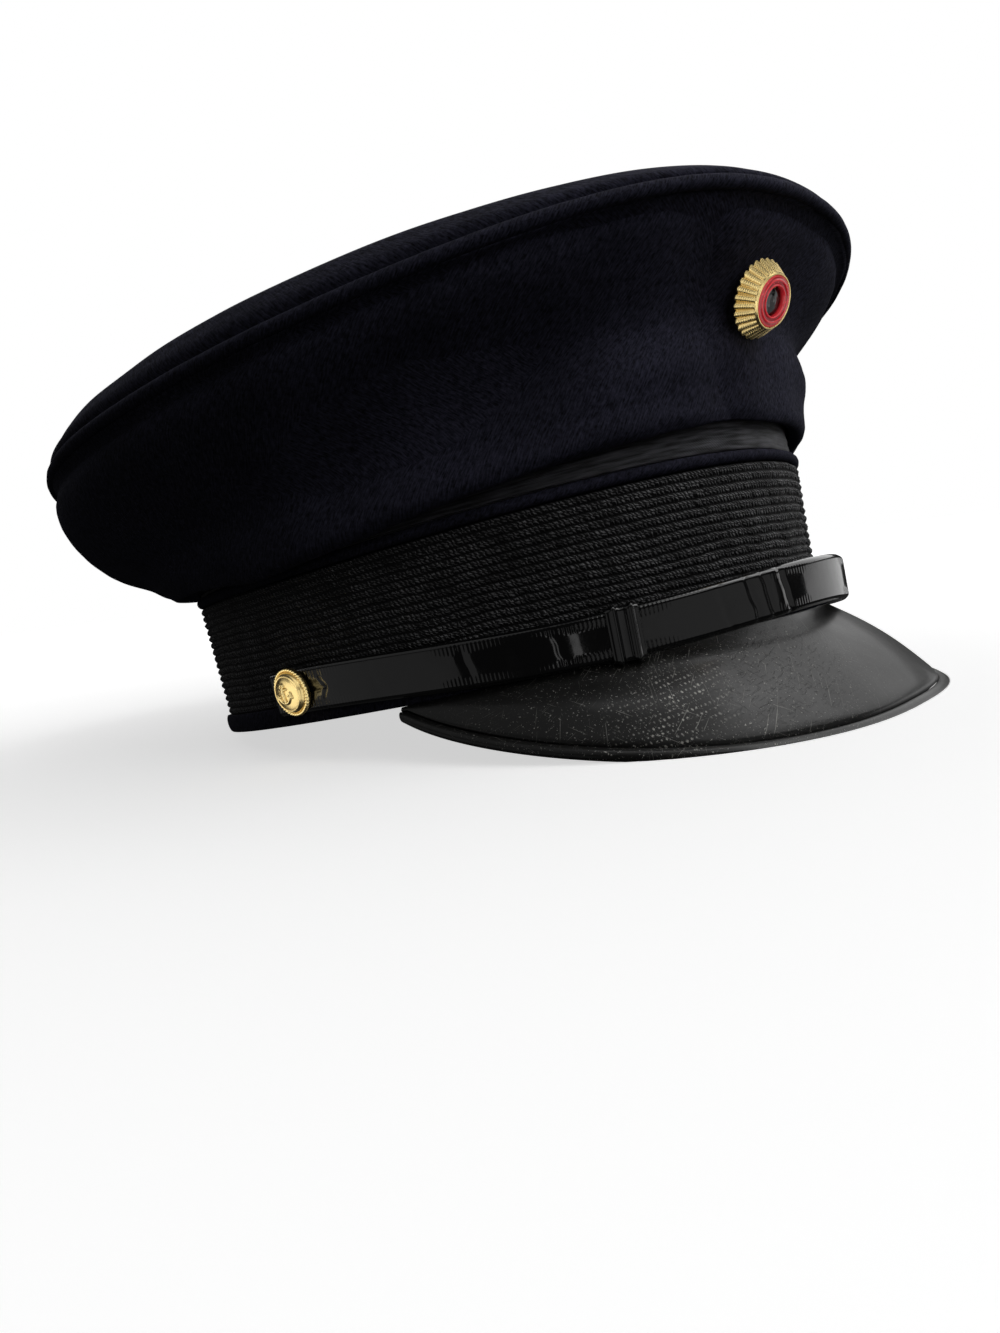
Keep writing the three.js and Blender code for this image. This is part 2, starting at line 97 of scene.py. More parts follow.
STRAP = Sizes(
    width=12.2, thickness=1.6, end_angle=math.radians(95), side_top=15.2, front_top=15.8,
    wave=2.7, front_lift=5.6)
KEEPER = Sizes(angle=math.radians(-39.5), length=8, wall=0.8)
BUTTON = Sizes(radius=6.6, height=4.2, angle=math.radians(89.5), centre=9.4)
COCKADE = Sizes(
    radius=9.7, face_radius=6.5, height=5, flutes=28, wall_height=0.6, seat_depth=1.4,
    ring_inner=3.4, ring_stand=0.5, centre_sink=0.3, tilt=math.radians(28), turn=math.radians(-11))
SINK = 0.7
REST_ANGLE = math.radians(32)

# How the crown's side leans out from the band (0) to the welt (1): out and up at front, side and back
CROWN_SIDE = np.array([
    (0.00, 0.00, 0.00, 0.00, 0.00, 0.00),
    (0.09, -0.01, 0.10, -0.02, 0.06, -0.03),
    (0.13, 0.03, 0.17, -0.05, 0.10, -0.03),
    (0.15, 0.10, 0.27, -0.04, 0.18, -0.03),
    (0.15, 0.24, 0.34, 0.10, 0.32, 0.03),
    (0.17, 0.42, 0.37, 0.28, 0.50, 0.13),
    (0.27, 0.58, 0.63, 0.50, 0.87, 0.33),
    (0.65, 0.80, 0.94, 0.78, 1.03, 0.60),
    (1.00, 1.00, 1.00, 1.00, 1.00, 1.00),
])

TURN = 2 * math.pi
COLUMNS_ROUND = 560
# Angles in radians of the columns of points round the cap, from its back
AROUND = [math.pi + TURN * k / COLUMNS_ROUND for k in range(COLUMNS_ROUND)]

# Sizes that only the dressed pieces have, in millimetres. Angles are in degrees from the front, minus on
# the wearer's right. A share runs from a piece's lower or inner edge (0) to its other edge (1).
# A spread is the standard deviation of a smooth hill, and a length is that of the waves of a noise.
SIDE_ROWS = 72
# Folds of the crown's side, left and right: angle and its spread, share and its spread, height
SIDE_FOLDS = ((26, 15, 0.58, 0.085, 4.6), (128, 17, 0.24, 0.16, -6))
SIDE_SWELL = Sizes(
    angle=55, spread=24, on_right=1.35, low=0.3, low_height=2.6, high=0.66, high_depth=3.2, rise=0.12)
SIDE_DENTS = ((1.1, 42), (0.45, 17), (0.1, 5))
WELT_GROOVE = Sizes(share=0.965, spread=0.018, depth=2)
SEAM = Sizes(foot=-9.5, welt=-16.5, pull=1.5, pull_spread=3.2, depth=0.3, spread=0.5)
# Pleats at the band: angle and depth
PLEATS = ((-106, 3.4), (-124, 1.4), (109, 2.4))
PLEAT = Sizes(lean=8, spread=2.6, share=0.06, rise=0.15, edge=6.5, edge_spread=3, edge_height=0.35)
TOP_INSETS = (0, 0.25, 0.6, 1.1, 1.8, 2.7, 3.8, 5.2, 7, 9, 12, 16, 21, 27, 34, 42, 51, 61, 72, 84, 96, 107)
RIM = Sizes(
    tuck=1.5, tuck_spread=0.3, roll=0.9, roll_inset=0.9, roll_spread=0.5, drop=1, drop_spread=0.5,
    wave=0.5, length=28, wave_inset=6)
WELT_CORD = Sizes(sides=14, fullness=1.2, waver=0.06, level=5, length=7)
PIPING_CORD = Sizes(sides=14, fullness=1, waver=0.04, level=9, length=6)
SATIN_DETAIL = Sizes(rows=18, sink=0.25, backing=0.6, sag=0.5, wave=0.25, length=9)
# Faint folds along the satin: share, spread and height
SATIN_FOLDS = ((0.42, 0.06, 0.3), (0.2, 0.05, 0.22))
BRAID = Sizes(
    rib_pitch=2.2, rows_per_rib=5, columns_per_stitch=2, rib_power=0.7, lump=1.6, length=1.5,
    join=math.radians(12), join_spread=0.012, kink=0.45)
BRAID_WANDER = ((0.3, 16), (0.19, 3))
# Pulled threads on the braid: angle and height
SNAGS = ((-20, 33.6), (-18.6, 32.4), (7, 33.8), (-47, 24), (-30, 11))
SNAG = Sizes(reach=3, spread=0.75, height=0.9, length=8 / 9, degrees_per_mm=0.62)
BINDING_DETAIL = Sizes(sink=0.15, fullness=0.3, thin_top=0.35, corner_steps=8, side_steps=6)
PEAK_DETAIL = Sizes(
    sections=200, rows=30, clearance=0.04, root_rise=3.3, rise_power=0.3, dent=0.22, length=17,
    edge_drop=0.5, edge_spread=0.02, bead_sides=18, bead_flatness=0.9)
RUBBED_PLACE = np.array((-58.5, -98, -10.5))
SCUFFED_PLACE = np.array((-34, -110, -7.5))
# Marks on the peak: length, width, lean in radians, rareness and seed
SCRATCHES = ((16, 0.22, 0.7, 0.66, 12), (9, 0.2, -0.5, 0.68, 13), (22, 0.2, 1.3, 0.68, 14))
SCUFFS = ((3, 0.5, 0.25, 0.58, 15), (5, 0.6, -0.9, 0.62, 16))
STRAP_DETAIL = Sizes(
    columns=1240, rows=26, edge_width=1.3, edge_depth=1.1, tick_edge=0.7, ticks_from=6, ticks_fade=6,
    slit_from=3, slit_to=11.5, slit_width=0.45, slit_depth=0.5, brace=9.4, brace_bow=2.2,
    brace_depth=0.3, brace_spread=0.3, hollow=8.2, hollow_depth=0.25, hollow_spread=1.4)
# Bends across the strap: angle at its middle, and depth
STRAP_BENDS = (
    (-24.5, 0.2), (-19.2, 0.34), (-16.2, 0.26), (-12.6, 0.34), (16, 0.2), (-48.5, 0.1), (-61, 0.18),
    (-74.6, 0.06))
BEND = Sizes(mm_per_degree=1.75, slant=0.17, spread=0.75, length=4)
KEEPER_DETAIL = Sizes(
    steps=40, ridge=0.95, ridge_edge=1.85, ridge_spread=0.52, end_depth=0.25, end_width=0.4,
    corner=1.2, inner_corner=0.3, corner_steps=7)

BUTTON_DETAIL = Sizes(
    sides=192, rows=50, shank_radius=1.2, shank_end=1.5, rim=0.95, rim_foot=1.3, dome_foot=1.45,
    dome_power=2.2, relief_room=0.35, rope=0.16, line=0.45, line_place=0.86, line_width=0.035, anchor=0.8)
# Insets and heights of a button's rim, from its back over its edge
BUTTON_RIM = (
    (0.7, 0), (0.15, 0.35), (0, 0.9), (0.05, 1.4), (0.22, 1.75), (0.45, 1.85), (0.68, 1.72), (0.85, 1.5))
# Anchor on a disc of radius 1: the ends and half width of its straight bars, then its ring and its arms
ANCHOR_BARS = (
    (0, -0.52, 0, 0.36, 0.085), (-0.3, 0.3, 0.3, 0.3, 0.075),
    (-0.36, -0.1, -0.56, 0.06, 0.07), (-0.6, -0.24, -0.56, 0.06, 0.07),
    (0.36, -0.1, 0.56, 0.06, 0.07), (0.6, -0.24, 0.56, 0.06, 0.07))
ANCHOR = Sizes(
    ring=0.5, ring_radius=0.12, ring_width=0.06, arms=-0.02, arm_radius=0.5, arm_width=0.085,
    arm_end=0.07 * math.pi)
SHELL_DETAIL = Sizes(
    rows=72, steps_per_flute=12, shank=6, shank_radius=1.2, flute_top=0.5, flute_power=0.8,
    low_depth=0.95, high_depth=0.45, ridges=9, ridge=0.045)
# Edge round the cockade's face: distance out from the face's radius, and up from its height
SHELL_LIP = (
    (0.12, -0.38), (0.1, -0.1), (-0.05, 0.1), (-0.2, 0.14), (-0.36, 0.08), (-0.42, -0.1),
    (-0.42, -COCKADE.seat_depth))
RING_DETAIL = Sizes(
    steps=40, sides=168, inset=0.44, sink=0.35, inner_drop=0.35, inner_width=0.06, outer_drop=0.3,
    outer_width=0.08)
# Raised lines on the enamel ring: share, spread and height
RING_LINES = ((0.14, 0.08, 0.46), (0.58, 0.09, 0.42))
CENTRE_DETAIL = Sizes(steps=20, sides=96, ripple=0.012, ripple_rate=16)

# The camera's place and its three directions, in the cap's own frame
CAMERA = Sizes(
    eye=(-250.946, -217.344, 11.671), right=(0.64197, -0.73839, -0.20653),
    up=(0.15628, -0.13770, 0.97807), back=(-0.75063, -0.66017, 0.02700))
SENSOR_WIDTH = 36

# Metres from the cap to the floor's edges and to the light panels
FLOOR_REACH = 8
PANEL_DISTANCE = 1.6
# Soft light panels round the cap: name, azimuth from the front toward the wearer's left, elevation, width
# and height in degrees, brightness, and what they light: all, matt for colour alone, gloss for shine alone,
# or the gilt and enamel pieces alone
PANELS = (
    ("key", 17, 50, 60, 34, 1.25, "matt"),
    ("front", -10, 21, 50, 26, 1.0, "matt"),
    ("window", 82, 36, 60, 62, 0.25, "matt"),
    ("window_shine", 82, 47, 66, 66, 0.9, "gloss"),
    ("high_shine", 88, 76, 50, 24, 0.8, "gloss"),
    ("low_window", 66, -1, 46, 16, 0.66, "gloss"),
    ("key_shine", 10, 52, 60, 26, 0.9, "gloss"),
    ("ceiling", -20, 84, 70, 60, 0.08, "all"),
    ("left_shine", -115, 42, 60, 50, 0.16, "gloss"),
    ("far_wall", -117, -13, 62, 36, 0.14, "gloss"),
    ("near_wall", -8, 0, 64, 26, 0.18, "gloss"),
    ("top_shine", -45, 80, 26, 14, 1.2, "gloss"),
    ("window_frame", -53, -4, 2.5, 14, 0.6, "gloss"),
    ("back", 165, 35, 60, 40, 0.4, "all"),
    ("gilt_card", -108, -18, 74, 64, 1.25, "gilt"),
    ("gilt_front", -5, -20, 80, 60, 0.9, "gilt"),
    ("gilt_top", -70, 35, 70, 40, 1.0, "gilt"),
    ("gilt_low", 70, -30, 70, 50, 0.35, "gilt"),
)

def hex_colour(code):
    """Linear colour of an sRGB hex code."""
    channels = [int(code[k:k + 2], 16) / 255 for k in (0, 2, 4)]
    linear = [c / 12.92 if c <= 0.04045 else ((c + 0.055) / 1.055) ** 2.4 for c in channels]
    return (*linear, 1.0)


# Settings that a user would change
class CapClothSettings(bpy.types.PropertyGroup):
    """Wool cloth, its cords and the satin strip"""
    colour: bpy.props.FloatVectorProperty(
        name="Cloth colour", description="Colour of the navy wool", subtype="COLOR",
        size=3, min=0, max=1, default=hex_colour("272733")[:3])
    fibre_length: bpy.props.FloatProperty(
        name="Fibre length", description="Length of the brushed fibres that lie on the cloth",
        default=2.8 * MM, min=0.2 * MM, unit="LENGTH")
    fibre_width: bpy.props.FloatProperty(
        name="Fibre width", description="Width of a tuft of fibres, drawn as coarse as it shows",
        default=0.4 * MM, min=0.05 * MM, unit="LENGTH")
    fibre_lean: bpy.props.FloatProperty(
        name="Fibre lean", description="Direction in which the cloth was brushed",
        default=math.radians(-52), unit="ROTATION")


class CapBraidSettings(bpy.types.PropertyGroup):
    """Ribbed mohair braid round the band"""
    ribs: bpy.props.IntProperty(
        name="Ribs", description="Ribs from the band's lower to its upper edge", default=18, min=4)
    rib_depth: bpy.props.FloatProperty(
        name="Rib depth", description="How deep the grooves between two ribs are",
        default=0.62 * MM, min=0, unit="LENGTH")
    stitch: bpy.props.FloatProperty(
        name="Stitch pitch", description="Distance between two plaited stitches along a rib",
        default=1.2 * MM, min=0.4 * MM, unit="LENGTH")
    stitch_depth: bpy.props.FloatProperty(
        name="Stitch depth", description="How far a stitch stands above the gap beside it",
        default=0.3 * MM, min=0, unit="LENGTH")
    slant: bpy.props.FloatProperty(
        name="Slant", description="Stitches that one strand passes on its way across a rib", default=1.7)


class CapPatentSettings(bpy.types.PropertyGroup):
    """Patent leather of the peak, the strap and its keeper"""
    tick_pitch: bpy.props.FloatProperty(
        name="Tick pitch", description="Distance between two pressed ticks along the strap's edges",
        default=1.05 * MM, min=0.3 * MM, unit="LENGTH")
    tick_length: bpy.props.FloatProperty(
        name="Tick length", description="Length of a pressed tick across the strap",
        default=2.3 * MM, min=0.3 * MM, unit="LENGTH")
    tick_depth: bpy.props.FloatProperty(
        name="Tick depth", description="Depth of a pressed tick",
        default=0.16 * MM, min=0, unit="LENGTH")
    wear: bpy.props.FloatProperty(
        name="Wear", description="Strength of the scratches and scuffs on the peak",
        default=1, min=0, max=2, subtype="FACTOR")


class CapGiltSettings(bpy.types.PropertyGroup):
    """Stamped gilt metal and its enamel"""
    relief: bpy.props.FloatProperty(
        name="Relief", description="Height of the anchor and rope on a button",
        default=0.55 * MM, min=0, unit="LENGTH")
    rope_turns: bpy.props.IntProperty(
        name="Rope turns", description="Strands round a button's rope ring", default=44, min=8)
    gold: bpy.props.FloatVectorProperty(
        name="Gilt colour", description="Colour of the gilt metal", subtype="COLOR",
        size=3, min=0, max=1, default=hex_colour("f7dd98")[:3])
    enamel: bpy.props.FloatVectorProperty(
        name="Enamel colour", description="Colour of the red enamel", subtype="COLOR",
        size=3, min=0, max=1, default=hex_colour("de2f38")[:3])


class CapStageSettings(bpy.types.PropertyGroup):
    """Camera, floor and lights"""
    lens: bpy.props.FloatProperty(
        name="Lens", description="Focal length for a 36 mm sensor, in millimetres", default=26.81, min=5)
    light: bpy.props.FloatProperty(
        name="Light", description="Brightness of all the light panels together", default=1, min=0)
    fill: bpy.props.FloatProperty(
        name="Fill light", description="Brightness of the dim light from all round",
        default=0.02, min=0)


# Making meshes
def spline(knots, t):
    """Points at shares t of a smooth curve through evenly spaced knots."""
    last = len(knots) - 1
    place = np.clip(t, 0, 1) * last
    near = np.minimum(np.floor(place).astype(int), last - 1)
    w = (place - near)[:, None]
    before = knots[np.maximum(near - 1, 0)]
    start = knots[near]
    end = knots[near + 1]
    after = knots[np.minimum(near + 2, last)]
    v0 = (end - before) / 2
    v1 = (after - start) / 2
    return ((2 * start - 2 * end + v0 + v1) * w ** 3
            + (-3 * start + 3 * end - 2 * v0 - v1) * w ** 2 + v0 * w + start)


def run_lengths(points, axis, closed):
    """Distance along one axis of a grid of points, counted from its first point."""
    steps = np.diff(points, axis=axis)
    lengths = np.linalg.norm(steps, axis=2).mean(axis=1 - axis)
    if closed:
        closing = np.take(points, 0, axis) - np.take(points, -1, axis)
        lengths = np.append(lengths, np.linalg.norm(closing, axis=1).mean())
    return np.concatenate(([0], np.cumsum(lengths)))


def skin(name, rings, wrap_around=True, wrap_across=True, ends=False, counts=None):
    """Mesh object over a grid of points in the cap's frame, with a map of its lie in metres.
    counts, where given, are the millimetres of the map for each ring and each row."""
    rings = np.asarray(rings, dtype=float)
    count, across = rings.shape[:2]
    spans = count if wrap_around else count - 1
    strips = across if wrap_across else across - 1
    u = run_lengths(rings, 0, wrap_around)
    v = run_lengths(rings, 1, wrap_across)
    if counts is not None:
        u, v = counts
    i, j = np.meshgrid(np.arange(spans), np.arange(strips), indexing="ij")
    i, j = i.ravel(), j.ravel()
    corners = [(i, j), (i + 1, j), (i + 1, j + 1), (i, j + 1)]
    faces = np.stack([(a % count) * across + b % across for a, b in corners], axis=1).tolist()
    lie = np.stack([np.stack([u[a], v[b]], axis=1) for a, b in corners], axis=1).reshape(-1, 2)
    if ends:
        faces.append(list(range(across))[::-1])
        faces.append([(count - 1) * across + k for k in range(across)])
        lie = np.concatenate([lie, np.zeros((2 * across, 2))])
    return mesh_object(name, rings.reshape(-1, 3), faces, lie * MM)


def mesh_object(name, points, faces, lie=None, place=None):
    """Object from points in millimetres of the cap's frame, or of a local frame and its place."""
    if place is not None:
        points = points @ place[:3, :3].T + place[:3, 3]
    mesh = bpy.data.meshes.new(name)
    mesh.from_pydata((to_row(points) * MM).tolist(), [], faces)
    if lie is not None:
        layer = mesh.uv_layers.new(name="lie")
        layer.uv.foreach_set("vector", np.asarray(lie, dtype=np.float32).ravel())
    outward(mesh)
    mesh.polygons.foreach_set("use_smooth", [True] * len(mesh.polygons))
    mesh.update()
    piece = bpy.data.objects.new(name, mesh)
    bpy.context.scene.collection.objects.link(piece)
    return piece


def outward(mesh):
    """Turns a closed mesh whose faces all look inward."""
    points = np.empty(len(mesh.vertices) * 3)
    mesh.vertices.foreach_get("co", points)
    points = points.reshape(-1, 3)
    mesh.calc_loop_triangles()
    corners = np.empty(len(mesh.loop_triangles) * 3, dtype=np.int32)
    mesh.loop_triangles.foreach_get("vertices", corners)
    a, b, c = (points[corners.reshape(-1, 3)[:, k]] for k in range(3))
    if np.einsum("ij,ij->i", a, np.cross(b, c)).sum() < 0:
        mesh.flip_normals()


def turned(profile, sides, shape=None):
    """Grid of points round +Z from pairs of radius and height, which shape may move at each angle."""
    rings = []
    for k in range(sides):
        angle = TURN * k / sides
        ring = []
        for radius, height in profile:
            r, z = (radius, height) if shape is None else shape(radius, angle, height)
            ring.append((r * math.cos(angle), r * math.sin(angle), z))
        rings.append(ring)
    return np.array(rings)


def turned_object(name, profile, sides, place, shape=None):
    """Turned piece. Where the profile starts or ends on the axis, the grid narrows to it."""
    rings = turned(profile, sides, shape)
    across = rings.shape[1]
    faces = []
    lie = []
    for i in range(sides):
        for j in range(across - 1):
            k = (i + 1) % sides
            faces.append((i * across + j, k * across + j, k * across + j + 1, i * across + j + 1))
            lie += [rings[i, j, :2], rings[k, j, :2], rings[k, j + 1, :2], rings[i, j + 1, :2]]
    piece = mesh_object(name, rings.reshape(-1, 3), faces, np.array(lie) * MM, place)
    weld(piece)
    return piece


def weld(piece, distance=0.004 * MM):
    """Joins points that lie on each other."""
    work = bmesh.new()
    work.from_mesh(piece.data)
    bmesh.ops.remove_doubles(work, verts=work.verts, dist=distance)
    work.to_mesh(piece.data)
    work.free()


def soft_noise(x, y, z, length):
    """Smooth noise from -1 to 1 whose waves are about as many millimetres long."""
    return noise.noise(Vector((x / length, y / length, z / length)))


def uneven(place, waves):
    """Sum of smooth noises at a place, given as pairs of height and length."""
    return sum(height * soft_noise(*place, length) for height, length in waves)


def hill(value, spread):
    """Smooth hill of height 1."""
    return math.exp(-0.5 * (value / spread) ** 2)


def clamp(value, low, high):
    return min(max(value, low), high)


# Shape of the cap
def oval(angle, front, back, side, forward, squareness=2.0):
    """Point of a level oval. The angle starts at the front and grows toward the wearer's left."""
    power = 2 / squareness
    c, s = math.cos(angle), math.sin(angle)
    along = math.copysign(abs(c) ** power, c)
    across = math.copysign(abs(s) ** power, s)
    return np.array((side * across, -forward - (front if c > 0 else back) * along, 0.0))


def mix(a, b, share):
    return a + (b - a) * share


def unit(vector):
    return vector / np.linalg.norm(vector)


def band_top(angle):
    return BAND.height - BAND.front_drop * math.cos(angle) + BAND.side_dip * math.cos(2 * angle)


def band_point(angle, height, outset):
    """Point of the band's face at a height, moved off it by an outset."""
    share = height / band_top(angle)
    length = mix(BAND.half_length, BAND.top_half_length, share) + outset
    width = mix(BAND.half_width, BAND.top_half_width, share) + outset
    point = oval(angle, length, length, width, share * BAND.top_forward)
    point[2] = height
    return point


def piping_top(angle):
    return band_top(angle) + GAP + 2 * PIPING.half_height


def foot_height(angle):
    """Height of the crown cloth's lower edge, which leaves the satin showing at the front."""
    front = max(math.cos(angle), 0) ** SATIN.fade
    return piping_top(angle) + SATIN.side_show + SATIN.front_show * front


def welt_height(angle, share=1.0):
    return (WELT.height + share * WELT.rise * math.cos(angle)
            + share ** 2 * WELT.saddle * math.cos(2 * angle)
            + share ** 3 * WELT.twist * math.cos(3 * angle))


def welt_point(angle, inset=0.0):
    point = oval(angle, WELT.front - inset, WELT.back - inset, WELT.half_width - inset,
                 -WELT.back_shift, WELT.squareness)
    point[2] = welt_height(angle)
    return point


def ring_about(base, half_width, half_height, sides):
    """Points round a base point, in the upright plane that also holds the cap's middle."""
    out = unit(np.array((base[0], base[1], 0.0)))
    turns = TURN * np.arange(sides) / sides
    return (base + np.outer(half_width * np.cos(turns), out)
            + np.outer(half_height * np.sin(turns), (0, 0, 1)))


def peak_edge(angle):
    """Outermost edge of the peak. The angle runs from corner to corner through the front."""
    corner = band_point(PEAK.corner, PEAK.corner_height, PEAK.corner_out)
    c = abs(math.cos(angle))
    side = abs(math.sin(angle)) ** PEAK.side_power
    return np.array((
        math.copysign(corner[0] * side, angle),
        corner[1] - (PEAK.reach + corner[1]) * c ** PEAK.plan_power,
        corner[2] + (PEAK.drop - corner[2]) * c ** PEAK.drop_power
        + PEAK.side_drop * math.sin(2 * angle) ** 2))


def peak_root(edge):
    angle = math.atan2(edge[0] / BAND.half_width, -edge[1] / BAND.half_length)
    return band_point(angle, PEAK.root_height, PEAK.root_out)


def peak_frame(angle):
    """One section of the peak: root, direction, downward normal, width and half width of its bead."""
    edge = peak_edge(angle)
    root = peak_root(edge)
    width = np.linalg.norm(edge - root)
    away = (edge - root) / width
    step = 0.01
    along = unit(peak_root(peak_edge(angle + step)) - peak_root(peak_edge(angle - step)))
    down = unit(np.cross(away, along))
    if down[2] > 0:
        down = -down
    return root, away, down, width, min(BEAD.half_width, (width - BEAD.tip_panel) / 2)


def front_share(angle):
    return max(math.cos(angle), 0) ** 2


def strap_top(angle):
    return (mix(STRAP.side_top, STRAP.front_top, front_share(angle))
            - STRAP.wave * math.sin(2 * angle) ** 2)


def strap_point(angle, height, outset):
    point = band_point(angle, height, BINDING.thickness + 2 * GAP + outset)
    point[1] -= STRAP.front_lift * front_share(angle)
    return point


def surface_place(surface, angle, height, outset):
    """Matrix at a place on a surface: +Z outward, +X along, +Y up."""
    step = 0.02
    along = unit(surface(angle + step, height, outset) - surface(angle - step, height, outset))
    rise = unit(surface(angle, height + 1, outset) - surface(angle, height - 1, outset))
    normal = unit(np.cross(along, rise))
    place = np.eye(4)
    place[:3, 0] = along
    place[:3, 1] = np.cross(normal, along)
    place[:3, 2] = normal
    place[:3, 3] = surface(angle, height, outset)
    return place


def standing():
    """Pitch, turn, floor and shift of the cap, resting on its peak's edge and the back of its band."""
    peak = peak_edge(REST_ANGLE)
    back = band_point(math.pi, 0, -BAND.wall / 2)
    pitch = math.atan((back[2] - peak[2]) / (back[1] - peak[1]))
    lean = np.array((
        (1, 0, 0),
        (0, math.cos(pitch), math.sin(pitch)),
        (0, -math.sin(pitch), math.cos(pitch))))
    floor = (lean @ back)[2] + SINK
    welt = np.array([lean @ welt_point(TURN * k / 360) for k in range(360)])
    low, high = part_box("crown_welt")
    middle = (low[1] + high[1]) / 2 / MM
    shift = np.array((0, middle - (welt[:, 1].min() + welt[:, 1].max()) / 2, -floor))
    return pitch, lean, floor, shift


PITCH, LEAN, FLOOR, SHIFT = standing()


def to_row(points):
    """Points of the cap's own frame, in millimetres, as it stands on the table."""
    return np.asarray(points) @ LEAN.T + SHIFT


def rest_on_table(points):
    """Lifts points that would sink into the table, as cloth flattens where it rests."""
    points = np.array(points, dtype=float)
    short = np.maximum(FLOOR - points @ LEAN[2], 0)
    points[..., 2] += short / math.cos(PITCH)
    return points


# Materials
def add_node(tree, kind, *inputs, sockets=None, **settings):
    """Adds a node with its settings. Its inputs are set in their order, and sockets by name or number.
    A value that is a node or one of its outputs is linked."""
    node = tree.nodes.new("ShaderNode" + kind)
    for key, value in settings.items():
        setattr(node, key, value)
    for key, value in (*enumerate(inputs), *(sockets or {}).items()):
        if isinstance(value, bpy.types.Node):
            value = value.outputs[0]
        if isinstance(value, bpy.types.NodeSocket):
            tree.links.new(value, node.inputs[key])
        else:
            node.inputs[key].default_value = value
    return node


def new_material(name):
    """Empty material, and add_node for its own tree."""
    material = bpy.data.materials.new(name)
    material.use_nodes = True
    material.node_tree.nodes.clear()
    return material, partial(add_node, material.node_tree)


def lie_map(node, length, width, lean=0.0):
    """Coordinates that count one for each length along a surface and each width across it."""
    lie = node("UVMap", uv_map="lie")
    turn = node("VectorRotate", lie, sockets={"Angle": lean}, rotation_type="Z_AXIS")
    return node("Mapping", turn, sockets={"Scale": (1 / length, 1 / width, 1)})


def streaking(node, length, width, lean=0.0, detail=2.0, roughness=0.5, seed=0.0):
    """Uneven streaks of one length and width that follow a surface, turned by the lean."""
    return node("TexNoise", lie_map(node, length, width, lean), seed, 1, detail, roughness,
                noise_dimensions="4D")


def mottling(node, size, detail=2.0, roughness=0.5, seed=0.0):
    """Uneven spots of one size, whichever way the surface runs."""
    where = node("TexCoord").outputs["Object"]
    scaled = node("Mapping", where, sockets={"Scale": (1 / size, 1 / size, 1 / size)})
    return node("TexNoise", scaled, seed, 1, detail, roughness, noise_dimensions="4D")


def relief(node, *layers):
    """Bumps on each other. A layer is a pattern of 0 to 1, its depth in metres and its strength."""
    under = {}
    for pattern, depth, strength in layers:
        under = {"Normal": node("Bump", strength, depth, sockets={"Height": pattern, **under})}
    return under["Normal"]


def distance_from(node, point):
    """Distance in metres from a point of the cap's own frame."""
    where = node("TexCoord").outputs["Object"]
    return node("VectorMath", where, Vector(to_row(point) * MM), operation="DISTANCE").outputs["Value"]


def scratches(node, rows):
    """Thin marks, 0 or 1. A row is their length and width in millimetres, lean, rareness and seed."""
    marks = 0.0
    for length, width, lean, rareness, seed in rows:
        marked = node("MapRange", streaking(node, length * MM, width * MM, lean, seed=seed),
                      rareness, rareness + 0.03)
        marks = node("Math", marks, marked, operation="MAXIMUM")
    return marks


def brushed_wool(name, settings, light=1.0):
    """Melton: milled and brushed wool, dyed navy. Its fibres lie one way and catch a faint blue sheen."""
    # light scales the colour; the band's darker copy at 0.9 is painted shade
    colour = [c * light for c in settings.colour]
    material, node = new_material(name)
    fibres = streaking(node, settings.fibre_length, settings.fibre_width, settings.fibre_lean, 3, 0.6)
    tufts = mottling(node, 1.1 * MM, 3, 0.6, seed=2)
    clouds = mottling(node, 26 * MM, seed=4)
    tuft = node("Math", node("MapRange", tufts, 0.34, 0.7), 0.5, operation="MULTIPLY")
    shade = node("Math", node("MapRange", fibres, 0.4, 0.66), 0.7, tuft, operation="MULTIPLY_ADD")
    shade = node("Math", shade, node("MapRange", clouds, 0.3, 0.7, 0.75, 1.25), operation="MULTIPLY")
    dark = (*[c * 0.15 for c in colour], 1)
    bright = (*[min(c * 2.6, 1) for c in colour], 1)
    node("OutputMaterial", node("BsdfPrincipled", sockets={
        "Base Color": node("Mix", data_type="RGBA", sockets={0: shade, 6: dark, 7: bright}).outputs[2],
        "Roughness": 0.95,
        "Specular IOR Level": 0.12,
        "Sheen Weight": 0.03,
        "Sheen Roughness": 0.45,
        "Sheen Tint": hex_colour("6f76a8"),
        "Normal": relief(node, (tufts, 0.35 * MM, 0.6), (fibres, 0.25 * MM, 0.8)),
    }))
    return material


def twill_satin():
    """Black silk satin that shines softly across its threads. Its twill is drawn 0.5 mm apart, to show."""
    material, node = new_material("black twill satin")
    twill = node("TexWave", lie_map(node, 3 * MM, 3 * MM, math.radians(35)), 2, 2, 2,
                 wave_type="BANDS", bands_direction="Y").outputs["Fac"]
    slubs = streaking(node, 9 * MM, 0.5 * MM, seed=1)
    node("OutputMaterial", node("BsdfPrincipled", sockets={
        "Base Color": node("Mix", data_type="RGBA", sockets={
            0: node("MapRange", slubs, 0.35, 0.7), 6: hex_colour("19191b"),
            7: hex_colour("5c5c62")}).outputs[2],
        "Roughness": 0.5,
        "Specular IOR Level": 0.35,
        "Normal": relief(node, (slubs, 0.12 * MM, 0.6), (twill, 0.05 * MM, 0.5)),
    }))
    return material


